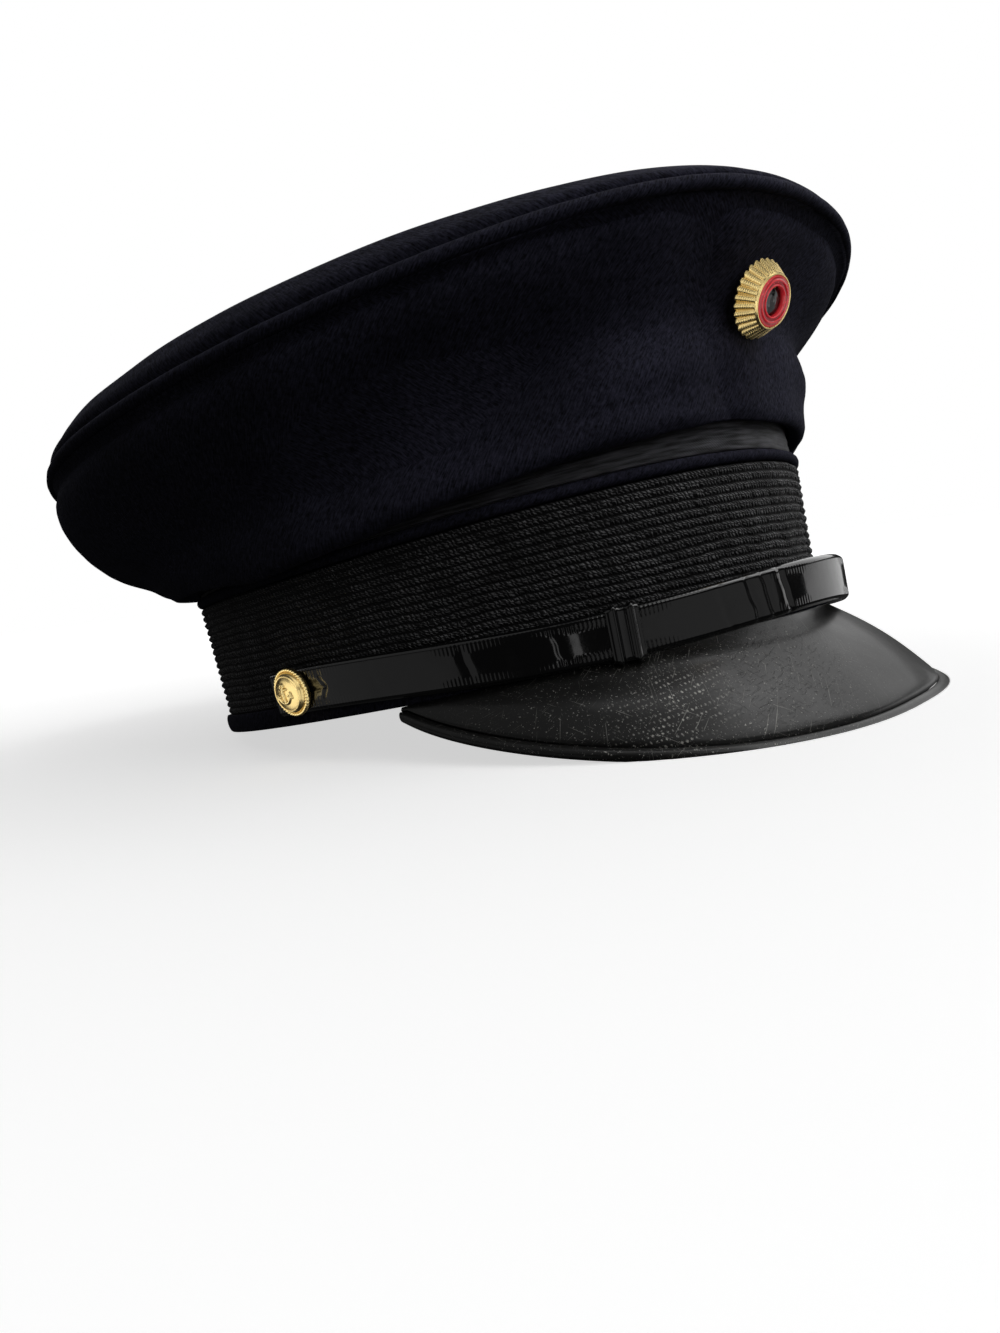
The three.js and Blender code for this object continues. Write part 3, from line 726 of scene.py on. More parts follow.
def mohair_braid(settings):
    """Mohair braid: hard black yarn, plaited in ribs whose slanted stitches catch the light. Its colour
    holds painted highlights on the stitches and painted shade in their gaps and in the grooves between
    ribs.
    """
    material, node = new_material("black mohair braid")
    counts = node("SeparateXYZ", lie_map(node, settings.stitch, BRAID.rib_pitch * MM))
    jitter = streaking(node, 1.5 * MM, 2.2 * MM, roughness=0.6, seed=8)
    across = node("Math", counts.outputs["Y"], 0.2, operation="SUBTRACT")
    across = node("Math", jitter, 0.4, across, operation="MULTIPLY_ADD")
    inside = node("Math", across, operation="FRACT")
    halves = node("Math", across, 2, operation="MULTIPLY")
    lane = node("Math", halves, operation="FLOOR")
    part = node("Math", halves, operation="FRACT")
    phase = node("Math", part, settings.slant / 2, counts.outputs["X"], operation="MULTIPLY_ADD")
    phase = node("Math", lane, 0.43, phase, operation="MULTIPLY_ADD")
    phase = node("Math", jitter, 1.6, phase, operation="MULTIPLY_ADD")
    swing = node("Math", node("Math", phase, TURN, operation="MULTIPLY"), operation="COSINE")
    rib = node("Math", node("Math", inside, math.pi, operation="MULTIPLY"), operation="SINE")
    dash = node("Math", node("Math", part, math.pi, operation="MULTIPLY"), operation="SINE")
    strands = streaking(node, 1.6 * MM, 0.16 * MM, math.radians(-38), 3, 0.6)
    worn = mottling(node, 7 * MM, 5, 0.72, seed=3)

    # Painted light: the stitches' crowns are coloured light as highlights, their gaps and the grooves
    # between ribs dark as shade
    grain = node("MapRange", swing, -0.4, 0.9)
    grain = node("Math", grain, node("MapRange", dash, 0, 0.7, 0.25, 1), operation="MULTIPLY")
    grain = node("Math", grain, node("MapRange", rib, 0.15, 0.7), operation="MULTIPLY")
    shade = node("Math", grain, node("MapRange", strands, 0.3, 0.7, 0.35, 1.2), operation="MULTIPLY")
    shade = node("Math", shade, node("MapRange", worn, 0.36, 0.64, 0.2, 1.5), operation="MULTIPLY")
    node("OutputMaterial", node("BsdfPrincipled", sockets={
        "Base Color": node("Mix", data_type="RGBA", sockets={
            0: shade, 6: hex_colour("050506"), 7: hex_colour("868688")}).outputs[2],
        "Roughness": node("MapRange", grain, 0, 1, 0.75, 0.42),
        "Specular IOR Level": 0.45,
        "Normal": relief(node, (grain, 1.5 * settings.stitch_depth, 1.0), (strands, 0.1 * MM, 0.7)),
    }))
    return material


def patent_leather():
    """Patent leather: black, with a hard clear lacquer that mirrors its surroundings."""
    material, node = new_material("patent leather")
    dents = mottling(node, 8 * MM)
    grain = mottling(node, 0.9 * MM, 3, 0.6, seed=2)
    smudges = mottling(node, 11 * MM, 4, 0.65, seed=9)
    node("OutputMaterial", node("BsdfPrincipled", sockets={
        "Base Color": hex_colour("0a0a0b"),
        "Roughness": node("MapRange", smudges, 0.45, 0.68, 0.1, 0.3),
        "Coat Weight": 1.0,
        "Coat Roughness": 0.03,
        "Normal": relief(node, (dents, 0.4 * MM, 0.3), (grain, 0.03 * MM, 0.25)),
    }))
    return material


def worn_patent(wear):
    """Patent leather dulled by wear, with a patch rubbed through in the grid of a cloth, and scratches."""
    material, node = new_material("worn patent leather")
    ragged = mottling(node, 13 * MM, 4, 0.6, seed=6)
    away = node("Math", ragged, 36 * MM, distance_from(node, RUBBED_PLACE), operation="MULTIPLY_ADD")
    patch = node("MapRange", away, 24 * MM, 33 * MM, 1, 0)
    around = node("MapRange", away, 34 * MM, 75 * MM, 1, 0.15)

    grid = node("SeparateXYZ", lie_map(node, 1.15 * MM, 1.15 * MM, 0.2))
    threads = [node("Math", node("Math", grid.outputs[axis], TURN, operation="MULTIPLY"), operation="SINE")
               for axis in ("X", "Y")]
    spared = mottling(node, 2.4 * MM, 5, 0.75, seed=5)
    crowns = node("Math", spared, 8, node("Math", *threads, operation="ADD"), operation="MULTIPLY_ADD")
    rubbed = node("MapRange", mottling(node, 0.9 * MM, 3, 0.7, seed=17), 0.4, 0.58)
    dots = node("Math", node("MapRange", crowns, 5.2, 6.0), rubbed, operation="MULTIPLY")
    dots = node("Math", dots, patch, operation="MULTIPLY")
    specks = node("MapRange", mottling(node, 0.55 * MM, 3, 0.7, seed=11), 0.62, 0.68)
    specks = node("Math", around, specks, operation="MULTIPLY")
    lines = node("Math", scratches(node, SCRATCHES), around, operation="MULTIPLY")
    lines = node("Math", lines, 0.5, operation="MULTIPLY")
    marks = node("Math", node("Math", dots, specks, operation="MAXIMUM"), lines, operation="MAXIMUM")
    marks = node("Math", marks, wear, operation="MULTIPLY")

    haze = node("MapRange", mottling(node, 18 * MM, 4, 0.6, seed=7), 0.35, 0.7, 0.34, 0.46)
    dents = mottling(node, 7 * MM)
    grain = mottling(node, 0.8 * MM, 4, 0.65, seed=2)
    scuffed = node("MapRange", distance_from(node, SCUFFED_PLACE), 9 * MM, 26 * MM, 1, 0)
    scuffs = node("Math", scratches(node, SCUFFS), scuffed, operation="MULTIPLY")
    node("OutputMaterial", node("BsdfPrincipled", sockets={
        "Base Color": node("Mix", data_type="RGBA", sockets={
            0: marks, 6: hex_colour("131312"), 7: hex_colour("e6e4dc")}).outputs[2],
        "Roughness": node("Math", patch, 0.08, haze, operation="MULTIPLY_ADD"),
        "Coat Weight": 0.25,
        "Coat Roughness": 0.16,
        "Normal": relief(node, (dents, 0.25 * MM, 0.3), (grain, 0.06 * MM, 0.45),
                         (scuffs, -0.14 * MM, 0.8), (marks, 0.08 * MM, 0.5)),
    }))
    return material


def gilt_metal(settings):
    """Stamped brass with a gilt wash: bright on the relief, with painted brownish shade in the hollows."""
    material, node = new_material("gilt brass")
    # Painted shade: hollows, found by the mesh's pointiness, take the darker brownish colour deep
    painted_hollow_shade_mix = node("MapRange", node("NewGeometry").outputs["Pointiness"], 0.42, 0.53)
    deep = (*[c * k for c, k in zip(settings.gold, (0.42, 0.32, 0.2))], 1)
    tarnish = mottling(node, 2.2 * MM, 3, 0.6)
    node("OutputMaterial", node("BsdfPrincipled", sockets={
        "Base Color": node("Mix", data_type="RGBA", sockets={
            0: painted_hollow_shade_mix, 6: deep, 7: (*settings.gold, 1)}).outputs[2],
        "Metallic": 1.0,
        "Roughness": node("MapRange", tarnish, 0.3, 0.7, 0.2, 0.34),
        "Normal": relief(node, (mottling(node, 0.35 * MM, seed=1), 0.02 * MM, 0.2)),
    }))
    return material


def enamel(name, colour, roughness):
    """Fired enamel: a smooth coloured glass, a little wavy from its firing, with painted shade darkening
    its hollows.
    """
    material, node = new_material(name)
    # Painted shade: hollows, found by the mesh's pointiness, take a darker copy of the colour
    raised = node("MapRange", node("NewGeometry").outputs["Pointiness"], 0.47, 0.52)
    deep = (*[c * 0.2 for c in colour], 1)
    node("OutputMaterial", node("BsdfPrincipled", sockets={
        "Base Color": node("Mix", data_type="RGBA", sockets={
            0: raised, 6: deep, 7: (*colour, 1)}).outputs[2],
        "Roughness": roughness,
        "Coat Weight": 0.4,
        "Coat Roughness": 0.04,
        "Normal": relief(node, (mottling(node, 1.6 * MM), 0.02 * MM, 0.08)),
    }))
    return material


def pale_paper():
    """Matt white background paper that glows a little, more so away from the cap, like a lit backdrop."""
    material, node = new_material("white background paper")
    where = node("TexCoord").outputs["Object"]
    away = node("VectorMath", where, operation="LENGTH").outputs["Value"]
    node("OutputMaterial", node("BsdfPrincipled", sockets={
        "Base Color": node("Mix", data_type="RGBA", sockets={
            0: mottling(node, 0.4), 6: hex_colour("ececec"), 7: hex_colour("f0f0f0")}).outputs[2],
        "Roughness": 0.9,
        "Emission Color": (1, 1, 1, 1),
        "Emission Strength": node("MapRange", away, 0.15, 1.0, 0.62, 1.0),
    }))
    return material


def dress(piece, material, slot, *nodes):
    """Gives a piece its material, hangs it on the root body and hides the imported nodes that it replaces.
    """
    piece.data.materials.append(material)
    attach(piece, "root")
    if nodes:
        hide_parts(*nodes)
    return piece


# Crown
def crown_slice(angle):
    """Foot, outward direction and curve knots of a flat slice through the crown's side."""
    foot = band_point(angle, foot_height(angle), -SATIN.inset + GAP)
    head = welt_point(angle) - np.array((0, 0, WELT.radius + GAP))
    lean = (head - foot) * (1, 1, 0)
    front = max(math.cos(angle), 0) ** SIDE_BLEND
    back = max(-math.cos(angle), 0) ** SIDE_BLEND
    weights = np.array((front, 1 - front - back, back))
    knots = np.stack([CROWN_SIDE[:, 0::2] @ weights * np.linalg.norm(lean),
                      CROWN_SIDE[:, 1::2] @ weights * (head[2] - foot[2])], axis=1)
    return foot, unit(lean), knots


def crown_relief(angle, share):
    """How far the side's cloth lies off its plain shape: folds, seams, pleats and soft dents."""
    degrees = math.degrees((angle + math.pi) % TURN - math.pi)
    off = 0
    for middle, spread, level, rise, height in SIDE_FOLDS:
        off += height * hill(abs(degrees) - middle, spread) * hill(share - level, rise)
    off -= WELT_GROOVE.depth * hill(share - WELT_GROOVE.share, WELT_GROOVE.spread)

    swell = SIDE_SWELL.on_right * hill(degrees + SIDE_SWELL.angle, SIDE_SWELL.spread)
    swell += hill(degrees - SIDE_SWELL.angle, SIDE_SWELL.spread)
    off += swell * (SIDE_SWELL.low_height * hill(share - SIDE_SWELL.low, SIDE_SWELL.rise)
                    - SIDE_SWELL.high_depth * hill(share - SIDE_SWELL.high, SIDE_SWELL.rise))

    seam = degrees - mix(SEAM.foot, SEAM.welt, share)
    off -= SEAM.pull * hill(seam, SEAM.pull_spread) * min(1, share * 3)
    off -= SEAM.depth * hill(seam, SEAM.spread)
    off -= SEAM.depth * hill(abs(degrees) - 180, SEAM.spread)

    low = hill(share - PLEAT.share, PLEAT.rise)
    for middle, depth in PLEATS:
        apart = degrees - (middle + PLEAT.lean * share * math.copysign(1, middle))
        edges = hill(apart - PLEAT.edge, PLEAT.edge_spread) + hill(apart + PLEAT.edge, PLEAT.edge_spread)
        off -= depth * hill(apart, PLEAT.spread) * low
        off += PLEAT.edge_height * depth * edges * low
    return off + uneven((math.sin(angle) * 110, math.cos(angle) * 120, share * 75), SIDE_DENTS)


def crown_side():
    """Side wall of the crown. Its relief fades out at the band and is weaker at the welt."""
    rings = []
    shares = np.linspace(0, 1, SIDE_ROWS)
    fade = np.minimum(1, np.minimum(shares / 0.04, 0.6 + (1 - shares) / 0.1))
    for angle in AROUND:
        foot, out, knots = crown_slice(angle)
        line = spline(knots, shares)
        run = np.gradient(line, axis=0)
        run /= np.linalg.norm(run, axis=1)[:, None]
        normals = np.stack([run[:, 1], -run[:, 0]], axis=1)
        waves = np.array([crown_relief(angle, share) for share in shares])
        outer = line + normals * (waves * fade)[:, None]
        inner = line - normals * CLOTH
        inner[:, 1] = np.minimum(inner[:, 1], line[-1, 1])
        section = np.concatenate([outer, inner[::-4]])
        rings.append(foot + np.outer(section[:, 0], out) + np.outer(section[:, 1], (0, 0, 1)))
    return skin("crown_side_cloth", rings)


def top_height(angle, inset, roll):
    """Height of the top panel at an inset from its rim. roll grows from 0 at the rim to 1 further in."""
    share = max(1 - inset / TOP.span, 0)
    edge = WELT.radius + GAP
    rise = (TOP.rise + share * TOP.front_rise * math.cos(angle)
            + share ** 2 * TOP.side_rise * math.cos(2 * angle))
    return (welt_height(angle, share) + edge + (rise - edge) * roll
            - TOP.dish * (1 - share ** 2) * roll)


def crown_top():
    """Top panel as two skins, rolled over at the rim, that meet in the middle."""
    rings = []
    for angle in AROUND:
        outer = []
        inner = []
        for inset in TOP_INSETS:
            roll = 1 - (1 - min(inset / TOP.roll_width, 1)) ** TOP.roll_power
            height = top_height(angle, inset, roll)
            tuck = RIM.tuck * hill(inset, RIM.tuck_spread)
            tuck -= RIM.roll * hill(inset - RIM.roll_inset, RIM.roll_spread)
            point = welt_point(angle, inset + tuck)
            wave = RIM.wave * soft_noise(point[0], point[1], 0, RIM.length)
            wave *= min(inset / RIM.wave_inset, 1)
            wave -= RIM.drop * hill(inset, RIM.drop_spread)
            outer.append((point[0], point[1], height + wave))
            under = welt_point(angle, inset + CLOTH * (1 - roll))
            inner.append((under[0], under[1], height - CLOTH * roll))
        rings.append(outer[::-1] + inner)
    piece = skin("crown_top_cloth", rings, wrap_across=False)
    close_hub(piece, len(rings[0]), len(rings))
    return piece


def close_hub(piece, across, count):
    """Closes the small holes in the middle of the top panel's two skins."""
    work = bmesh.new()
    work.from_mesh(piece.data)
    for column in (0, across - 1):
        work.verts.ensure_lookup_table()
        ring = [work.verts[k * across + column] for k in range(count)]
        hub = work.verts.new(sum((v.co for v in ring), Vector()) / count)
        for k in range(count):
            face = work.faces.new((ring[k], ring[(k + 1) % count], hub))
            face.smooth = True
    bmesh.ops.recalc_face_normals(work, faces=work.faces)
    work.to_mesh(piece.data)
    work.free()


def cloth_cord(name, middle, half_width, half_height, detail):
    """Cord of rolled cloth round the cap, a little uneven in thickness. middle gives its line."""
    rings = []
    for angle in AROUND:
        base = middle(angle)
        swell = detail.fullness + detail.waver * soft_noise(base[0], base[1], detail.level, detail.length)
        rings.append(ring_about(base, half_width * swell, half_height * swell, detail.sides))
    return skin(name, rings)


def crown_welt():
    return cloth_cord("crown_welt_cord", welt_point, WELT.radius, WELT.radius, WELT_CORD)


# Band
def satin_strip():
    """Twill strip that sags a little between its edges, with two faint folds along it."""
    rings = []
    for angle in AROUND:
        low = piping_top(angle) + GAP
        high = foot_height(angle) + SATIN.tuck
        face = []
        for row in range(SATIN_DETAIL.rows):
            share = row / (SATIN_DETAIL.rows - 1)
            outset = sum(height * hill(share - middle, spread) for middle, spread, height in SATIN_FOLDS)
            outset -= SATIN_DETAIL.sag * math.sin(math.pi * share)
            outset += SATIN_DETAIL.wave * soft_noise(
                math.cos(angle) * 100, math.sin(angle) * 100, share * 8, SATIN_DETAIL.length)
            outset -= SATIN.inset + SATIN_DETAIL.sink
            face.append(band_point(angle, mix(low, high, share), outset))
        inset = SATIN.inset + SATIN.thickness + SATIN_DETAIL.backing
        back = [band_point(angle, mix(high, low, k / 3), -inset) for k in range(4)]
        rings.append(face + back)
    return skin("satin_strip_twill", rings)


def piping_line(angle):
    return band_point(angle, band_top(angle) + GAP + PIPING.half_height, -PIPING.inset)


def band_piping():
    return cloth_cord(
        "band_piping_cord", piping_line, PIPING.half_width, PIPING.half_height, PIPING_CORD)


def braid_half(name, first, settings):
    """Half of the braid from one angle on, with ribs, lumps of the plait, pulled threads and a join."""
    pitch = settings.stitch / MM
    stitches = round(math.pi * (BAND.half_length + BAND.half_width) / 2 / pitch)
    columns = stitches * BRAID.columns_per_stitch
    rows = settings.ribs * BRAID.rows_per_rib
    depth = settings.rib_depth / MM
    lump = BRAID.lump * settings.stitch_depth / MM
    rings = []
    for column in range(columns + 1):
        angle = first + math.pi * column / columns
        from_front = (angle + math.pi) % TURN - math.pi
        top = band_top(angle)
        x, y = math.cos(angle) * 100, math.sin(angle) * 100
        kink = BRAID.kink * hill(from_front - BRAID.join, BRAID.join_spread)
        face = []
        for row in range(rows + 1):
            share = row / rows
            rib = abs(math.sin(math.pi * (share * settings.ribs)))
            height = mix(BAND.lift, top, share)
            outset = -depth * (1 - rib ** BRAID.rib_power) - kink / 2
            outset += lump * soft_noise(x, y, height, BRAID.length) * rib
            for degrees, level in SNAGS:
                above = SNAG.degrees_per_mm * (height - level)
                apart = math.hypot(math.degrees(from_front) - degrees, above)
                if apart < SNAG.reach:
                    loose = SNAG.height * hill(apart, SNAG.spread)
                    outset += loose * soft_noise(x, y, height, SNAG.length)
            wander = uneven((x, y, height), BRAID_WANDER) + kink
            face.append(band_point(angle, height + wander * min(share, 1 - share) * 4, outset))
        back = [band_point(angle, mix(top, BAND.lift, k / 4), -BAND.wall) for k in range(5)]
        rings.append(face + back)
    counts = (np.arange(columns + 1) * pitch / BRAID.columns_per_stitch,
              np.arange(len(rings[0]) + 1) * BRAID.rib_pitch / BRAID.rows_per_rib)
    return skin(name, rings, wrap_around=False, ends=True, counts=counts)


def bottom_binding():
    """Cloth rolled round the band's lower edge, fuller at the bottom, with a few soft rumples."""
    height, thick = BINDING.height, BINDING.thickness
    detail = BINDING_DETAIL
    inner = -BAND.wall - GAP
    inside = [(GAP, height), (GAP, thick), (inner, thick), (inner, height), (inner - thick, height),
              (inner - thick, thick), (inner - thick * 0.7, 0.3), (inner, 0)]
    rings = []
    for angle in AROUND:
        x, y = math.cos(angle) * 95, math.sin(angle) * 95
        rumple = 0.16 * soft_noise(x, y, 0, 5) + 0.12 * soft_noise(x, y, 4, 13)
        section = []
        for k in range(detail.corner_steps, -1, -1):
            turn = math.pi / 2 * k / detail.corner_steps
            section.append((GAP - detail.sink + (thick + rumple) * math.cos(turn),
                            thick - thick * math.sin(turn)))
        for k in range(1, detail.side_steps + 1):
            share = k / detail.side_steps
            swell = detail.fullness * math.sin(math.pi * share) ** 0.5 + rumple
            section.append((GAP - detail.sink + thick + swell - detail.thin_top * share ** 4,
                            mix(thick, height, share)))
        rings.append(rest_on_table([band_point(angle, h, out) for out, h in section + inside]))
    return skin("bottom_binding_cloth", rings)


# Peak
def peak_sections():
    """Angle and frame of each section of the peak, closer together toward its two corners."""
    for k in range(PEAK_DETAIL.sections + 1):
        angle = PEAK.last_angle * math.sin(mix(-math.pi / 2, math.pi / 2, k / PEAK_DETAIL.sections))
        yield angle, peak_frame(angle)


def peak_panel():
    """Panel of the peak, bulged and a little dented, which rises to the band and drops under its bead."""
    detail = PEAK_DETAIL
    rings = []
    for angle, (root, away, down, width, bead) in peak_sections():
        reach = width - 2 * bead - detail.clearance
        upper = []
        for row in range(detail.rows):
            share = row / (detail.rows - 1)
            arch = math.sin(math.pi * share)
            bulge = PEAK.bulge * arch * min(1, reach / PEAK.bulge_width)
            point = root + away * reach * share - down * bulge
            dent = detail.dent * soft_noise(point[0], point[1], 0, detail.length) * arch
            dent += detail.edge_drop * hill(share - 1, detail.edge_spread)
            upper.append(point + down * dent)
        lower = [point + down * PEAK.thickness for point in upper[::-3]]
        lower[-1] = upper[0] + np.array((0, 0, PEAK.thickness / down[2]))
        front = front_share(angle) ** detail.rise_power
        for row in range(detail.rows):
            rise = detail.root_rise * (1 - row / (detail.rows - 1)) * front
            upper[row] = upper[row] + np.array((0, 0, rise))
        rings.append(rest_on_table(upper + lower))
    return skin("peak_panel_patent", rings, wrap_around=False, ends=True)


def peak_bead():
    """Rounded bead along the peak's edge."""
    sides = PEAK_DETAIL.bead_sides
    half_height = PEAK_DETAIL.bead_flatness * BEAD.half_height
    rings = []
    for _, (root, away, down, width, bead) in peak_sections():
        centre = root + away * (width - bead) + down * PEAK.thickness / 2
        ring = []
        for k in range(sides):
            turn = TURN * k / sides
            ring.append(centre + away * bead * math.cos(turn) + down * half_height * math.sin(turn))
        rings.append(rest_on_table(ring))
    return skin("peak_bead_patent", rings, wrap_around=False, ends=True)


# Strap
def chin_strap(settings):
    """Strap with ticks pressed along its edges, bends, and a slit and a crease at each button."""
    detail = STRAP_DETAIL
    last = STRAP.end_angle
    half = STRAP.width / 2
    tick_pitch, tick_length = settings.tick_pitch / MM, settings.tick_length / MM
    angles = [mix(-last, last, k / detail.columns) for k in range(detail.columns + 1)]
    middles = np.array([strap_point(a, strap_top(a) - half, 0) for a in angles])
    along = np.concatenate(([0], np.cumsum(np.linalg.norm(np.diff(middles, axis=0), axis=1))))
    buttons = [np.interp(side * BUTTON.angle, angles, along) for side in (-1, 1)]
    rings = []
    for angle, run in zip(angles, along):
        top = strap_top(angle)
        degrees = math.degrees(angle)
        tick = (0.5 + 0.5 * math.cos(TURN * run / tick_pitch)) ** 2
        tick *= clamp(0.55 + 1.6 * soft_noise(run, 0, 3, 30), 0, 1.3)
        tick *= clamp((abs(degrees) - detail.ticks_from) / detail.ticks_fade, 0, 1)
        ring = []
        for row in range(detail.rows + 1):
            across = mix(-half, half, row / detail.rows)
            edge = half - abs(across)
            outset = STRAP.thickness - detail.edge_depth * max(1 - edge / detail.edge_width, 0) ** 2
            if detail.tick_edge < edge < detail.tick_edge + tick_length:
                outset -= settings.tick_depth / MM * tick
            outset -= strap_marks(run, across, buttons) + strap_bend(degrees, across)
            ring.append(strap_point(angle, top - half + across, outset))
        back = [strap_point(angle, top - STRAP.width * k / 3, 0) for k in range(4)]
        rings.append(ring + back)
    return skin("chin_strap_patent", rings, wrap_around=False, ends=True)


def strap_marks(run, across, buttons):
    """Depth of the buttonhole's slit and of the brace-shaped bend at its end, at a place on the strap."""
    detail = STRAP_DETAIL
    depth = 0.0
    for button_run, side in zip(buttons, (1, -1)):
        ahead = (run - button_run) * side
        if detail.slit_from < ahead < detail.slit_to and abs(across) < detail.slit_width:
            depth += detail.slit_depth * (1 - abs(across) / detail.slit_width)
        brace = detail.brace + detail.brace_bow * math.cos(math.pi * across / STRAP.width) ** 6
        depth += detail.brace_depth * hill(ahead - brace, detail.brace_spread)
        depth += detail.hollow_depth * hill(ahead - detail.hollow, detail.hollow_spread)
    return depth


def strap_bend(degrees, across):
    """Depth of the slanted bends where the strap has been folded."""
    depth = 0
    for middle, deepest in STRAP_BENDS:
        apart = (degrees - middle) * BEND.mm_per_degree + BEND.slant * across
        apart += soft_noise(across, middle, 0, BEND.length)
        depth += deepest * hill(apart, BEND.spread)
    return depth


def strap_keeper():
    """Sleeve round the strap, with a raised ridge near both of its ends."""
    detail = KEEPER_DETAIL
    place = surface_place(strap_point, KEEPER.angle, strap_top(KEEPER.angle) - STRAP.width / 2,
                          STRAP.thickness / 2)
    high = STRAP.width / 2 + GAP
    deep = STRAP.thickness / 2 + GAP
    sections = []
    for step in range(detail.steps + 1):
        share = step / detail.steps
        edge = min(share, 1 - share) * KEEPER.length
        wall = 0.5 * KEEPER.wall + detail.ridge * hill(edge - detail.ridge_edge, detail.ridge_spread)
        wall -= detail.end_depth * max(0, 1 - edge / detail.end_width)
        outside = rounded_box(high + 0.6 * wall, deep + wall, detail.corner, detail.corner_steps)
        sections.append((share, outside))
    inside = rounded_box(high, deep, detail.inner_corner, detail.corner_steps)
    sections += [(share, inside) for share in (1, 0.5, 0)]
    points = np.array([[(KEEPER.length * (share - 0.5), y, z) for y, z in outline]
                       for share, outline in sections])
    return skin("strap_keeper_patent", points @ place[:3, :3].T + place[:3, 3])


def rounded_box(half_high, half_deep, corner, corner_steps):
    """Outline of a rectangle with round corners."""
    outline = []
    for k, (sy, sz) in enumerate(((1, 1), (-1, 1), (-1, -1), (1, -1))):
        for step in range(corner_steps + 1):
            turn = math.pi / 2 * (k + step / corner_steps)
            outline.append((sy * (half_high - corner) + corner * math.cos(turn),
                            sz * (half_deep - corner) + corner * math.sin(turn)))
    return outline


# Gilt
def capsule(x, y, x0, y0, x1, y1, width):
    """1 inside a round-ended bar, falling to 0 at its edge."""
    dx, dy = x1 - x0, y1 - y0
    t = max(0, min(1, ((x - x0) * dx + (y - y0) * dy) / (dx * dx + dy * dy)))
    away = math.hypot(x - x0 - t * dx, y - y0 - t * dy)
    return dome(away / width)


def dome(share):
    return math.sqrt(max(1 - share * share, 0))


def anchor_height(x, y):
    """Relief of a plain anchor on a disc of radius 1."""
    height = max(capsule(x, y, *bar) for bar in ANCHOR_BARS)
    height = max(height, dome((math.hypot(x, y - ANCHOR.ring) - ANCHOR.ring_radius) / ANCHOR.ring_width))
    reach, low = math.hypot(x, y - ANCHOR.arms), math.atan2(y - ANCHOR.arms, x)
    if ANCHOR.arm_end - math.pi < low < -ANCHOR.arm_end:
        height = max(height, dome((reach - ANCHOR.arm_radius) / ANCHOR.arm_width))
    return height


def button(name, side, settings):
    """Domed button with a rope ring and an anchor, and a plain shank behind."""
    detail = BUTTON_DETAIL
    outset = STRAP.thickness + GAP
    place = surface_place(strap_point, side * BUTTON.angle, BUTTON.centre, outset)
    shank = outset + BINDING.thickness + 2 * GAP + BAND.wall + detail.shank_end
    inside = BUTTON.radius - detail.rim
    profile = [(0, -shank), (detail.shank_radius, -shank), (detail.shank_radius, 0)]
    profile += [(BUTTON.radius - inset, height) for inset, height in BUTTON_RIM]
    for k in range(detail.rows + 1):
        share = 1 - k / detail.rows
        bulge = math.sqrt(1 - share ** detail.dome_power)
        profile.append((inside * share, mix(detail.dome_foot, BUTTON.height - detail.relief_room, bulge)))
    relief_height = settings.relief / MM

    def stamp(r, angle, z):
        if z < detail.rim_foot:
            return r, z
        if r > inside + 0.05:
            return r, z + detail.rope * math.cos(settings.rope_turns * angle + 5 * r)
        share = r / inside
        stamped = detail.line * dome((share - detail.line_place) / detail.line_width)
        if share < detail.anchor:
            x, y = share * math.cos(angle) / detail.anchor, share * math.sin(angle) / detail.anchor
            stamped = max(stamped, anchor_height(x, y))
        return r, z + relief_height * stamped

    return turned_object(name, profile, detail.sides, place, stamp)


def cockade_place():
    """Place of the cockade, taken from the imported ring: its middle, and the way it faces."""
    forward = math.cos(COCKADE.tilt)
    normal = np.array((
        math.sin(COCKADE.turn) * forward, -math.cos(COCKADE.turn) * forward, -math.sin(COCKADE.tilt)))
    across = unit(np.cross((0, 0, 1), normal))
    axes = np.stack([across, np.cross(normal, across), normal], axis=1)
    mesh = frame["nodes"]["cockade_ring"].data
    points = np.empty(len(mesh.vertices) * 3)
    mesh.vertices.foreach_get("co", points)
    points = (points.reshape(-1, 3) / MM - SHIFT) @ LEAN @ axes
    middle = (points.min(axis=0) + points.max(axis=0)) / 2
    middle[2] = points[:, 2].min() - (COCKADE.height - COCKADE.seat_depth + GAP)
    place = np.eye(4)
    place[:3, :3] = axes
    place[:3, 3] = axes @ middle
    return place


def cockade_shell(place):
    """Fluted gilt cone. Each flute is rounded and has fine ridges across it, like a cord."""
    detail = SHELL_DETAIL
    radius, face, height, low = COCKADE.radius, COCKADE.face_radius, COCKADE.height, COCKADE.wall_height
    profile = [(0, -detail.shank), (detail.shank_radius, -detail.shank), (detail.shank_radius, 0),
               (radius - 1.2, 0), (radius - 0.25, 0.05), (radius, 0.3), (radius, low)]
    for k in range(1, detail.rows + 1):
        share = k / detail.rows
        profile.append((mix(radius, face + 0.35, share), mix(low, height - detail.flute_top, share)))
    high = profile[-1][1]
    profile += [(face + out, height + up) for out, up in SHELL_LIP]
    profile.append((0, height - COCKADE.seat_depth))

    def flute(r, angle, z):
        if z <= 0 or z >= high or r < face:
            return r, z
        share = clamp((z - low) / (high - low), 0, 1)
        wave = abs(math.cos(COCKADE.flutes / 2 * angle)) ** detail.flute_power
        depth = mix(detail.low_depth, detail.high_depth, share)
        ridge = detail.ridge * wave * math.cos(TURN * detail.ridges * share)
        ridge *= math.sin(math.pi * share) ** 0.3
        return r - depth * (1 - wave) + ridge, z + ridge * 0.5

    sides = COCKADE.flutes * detail.steps_per_flute
    return turned_object("cockade_shell_gilt", profile, sides, place, flute)


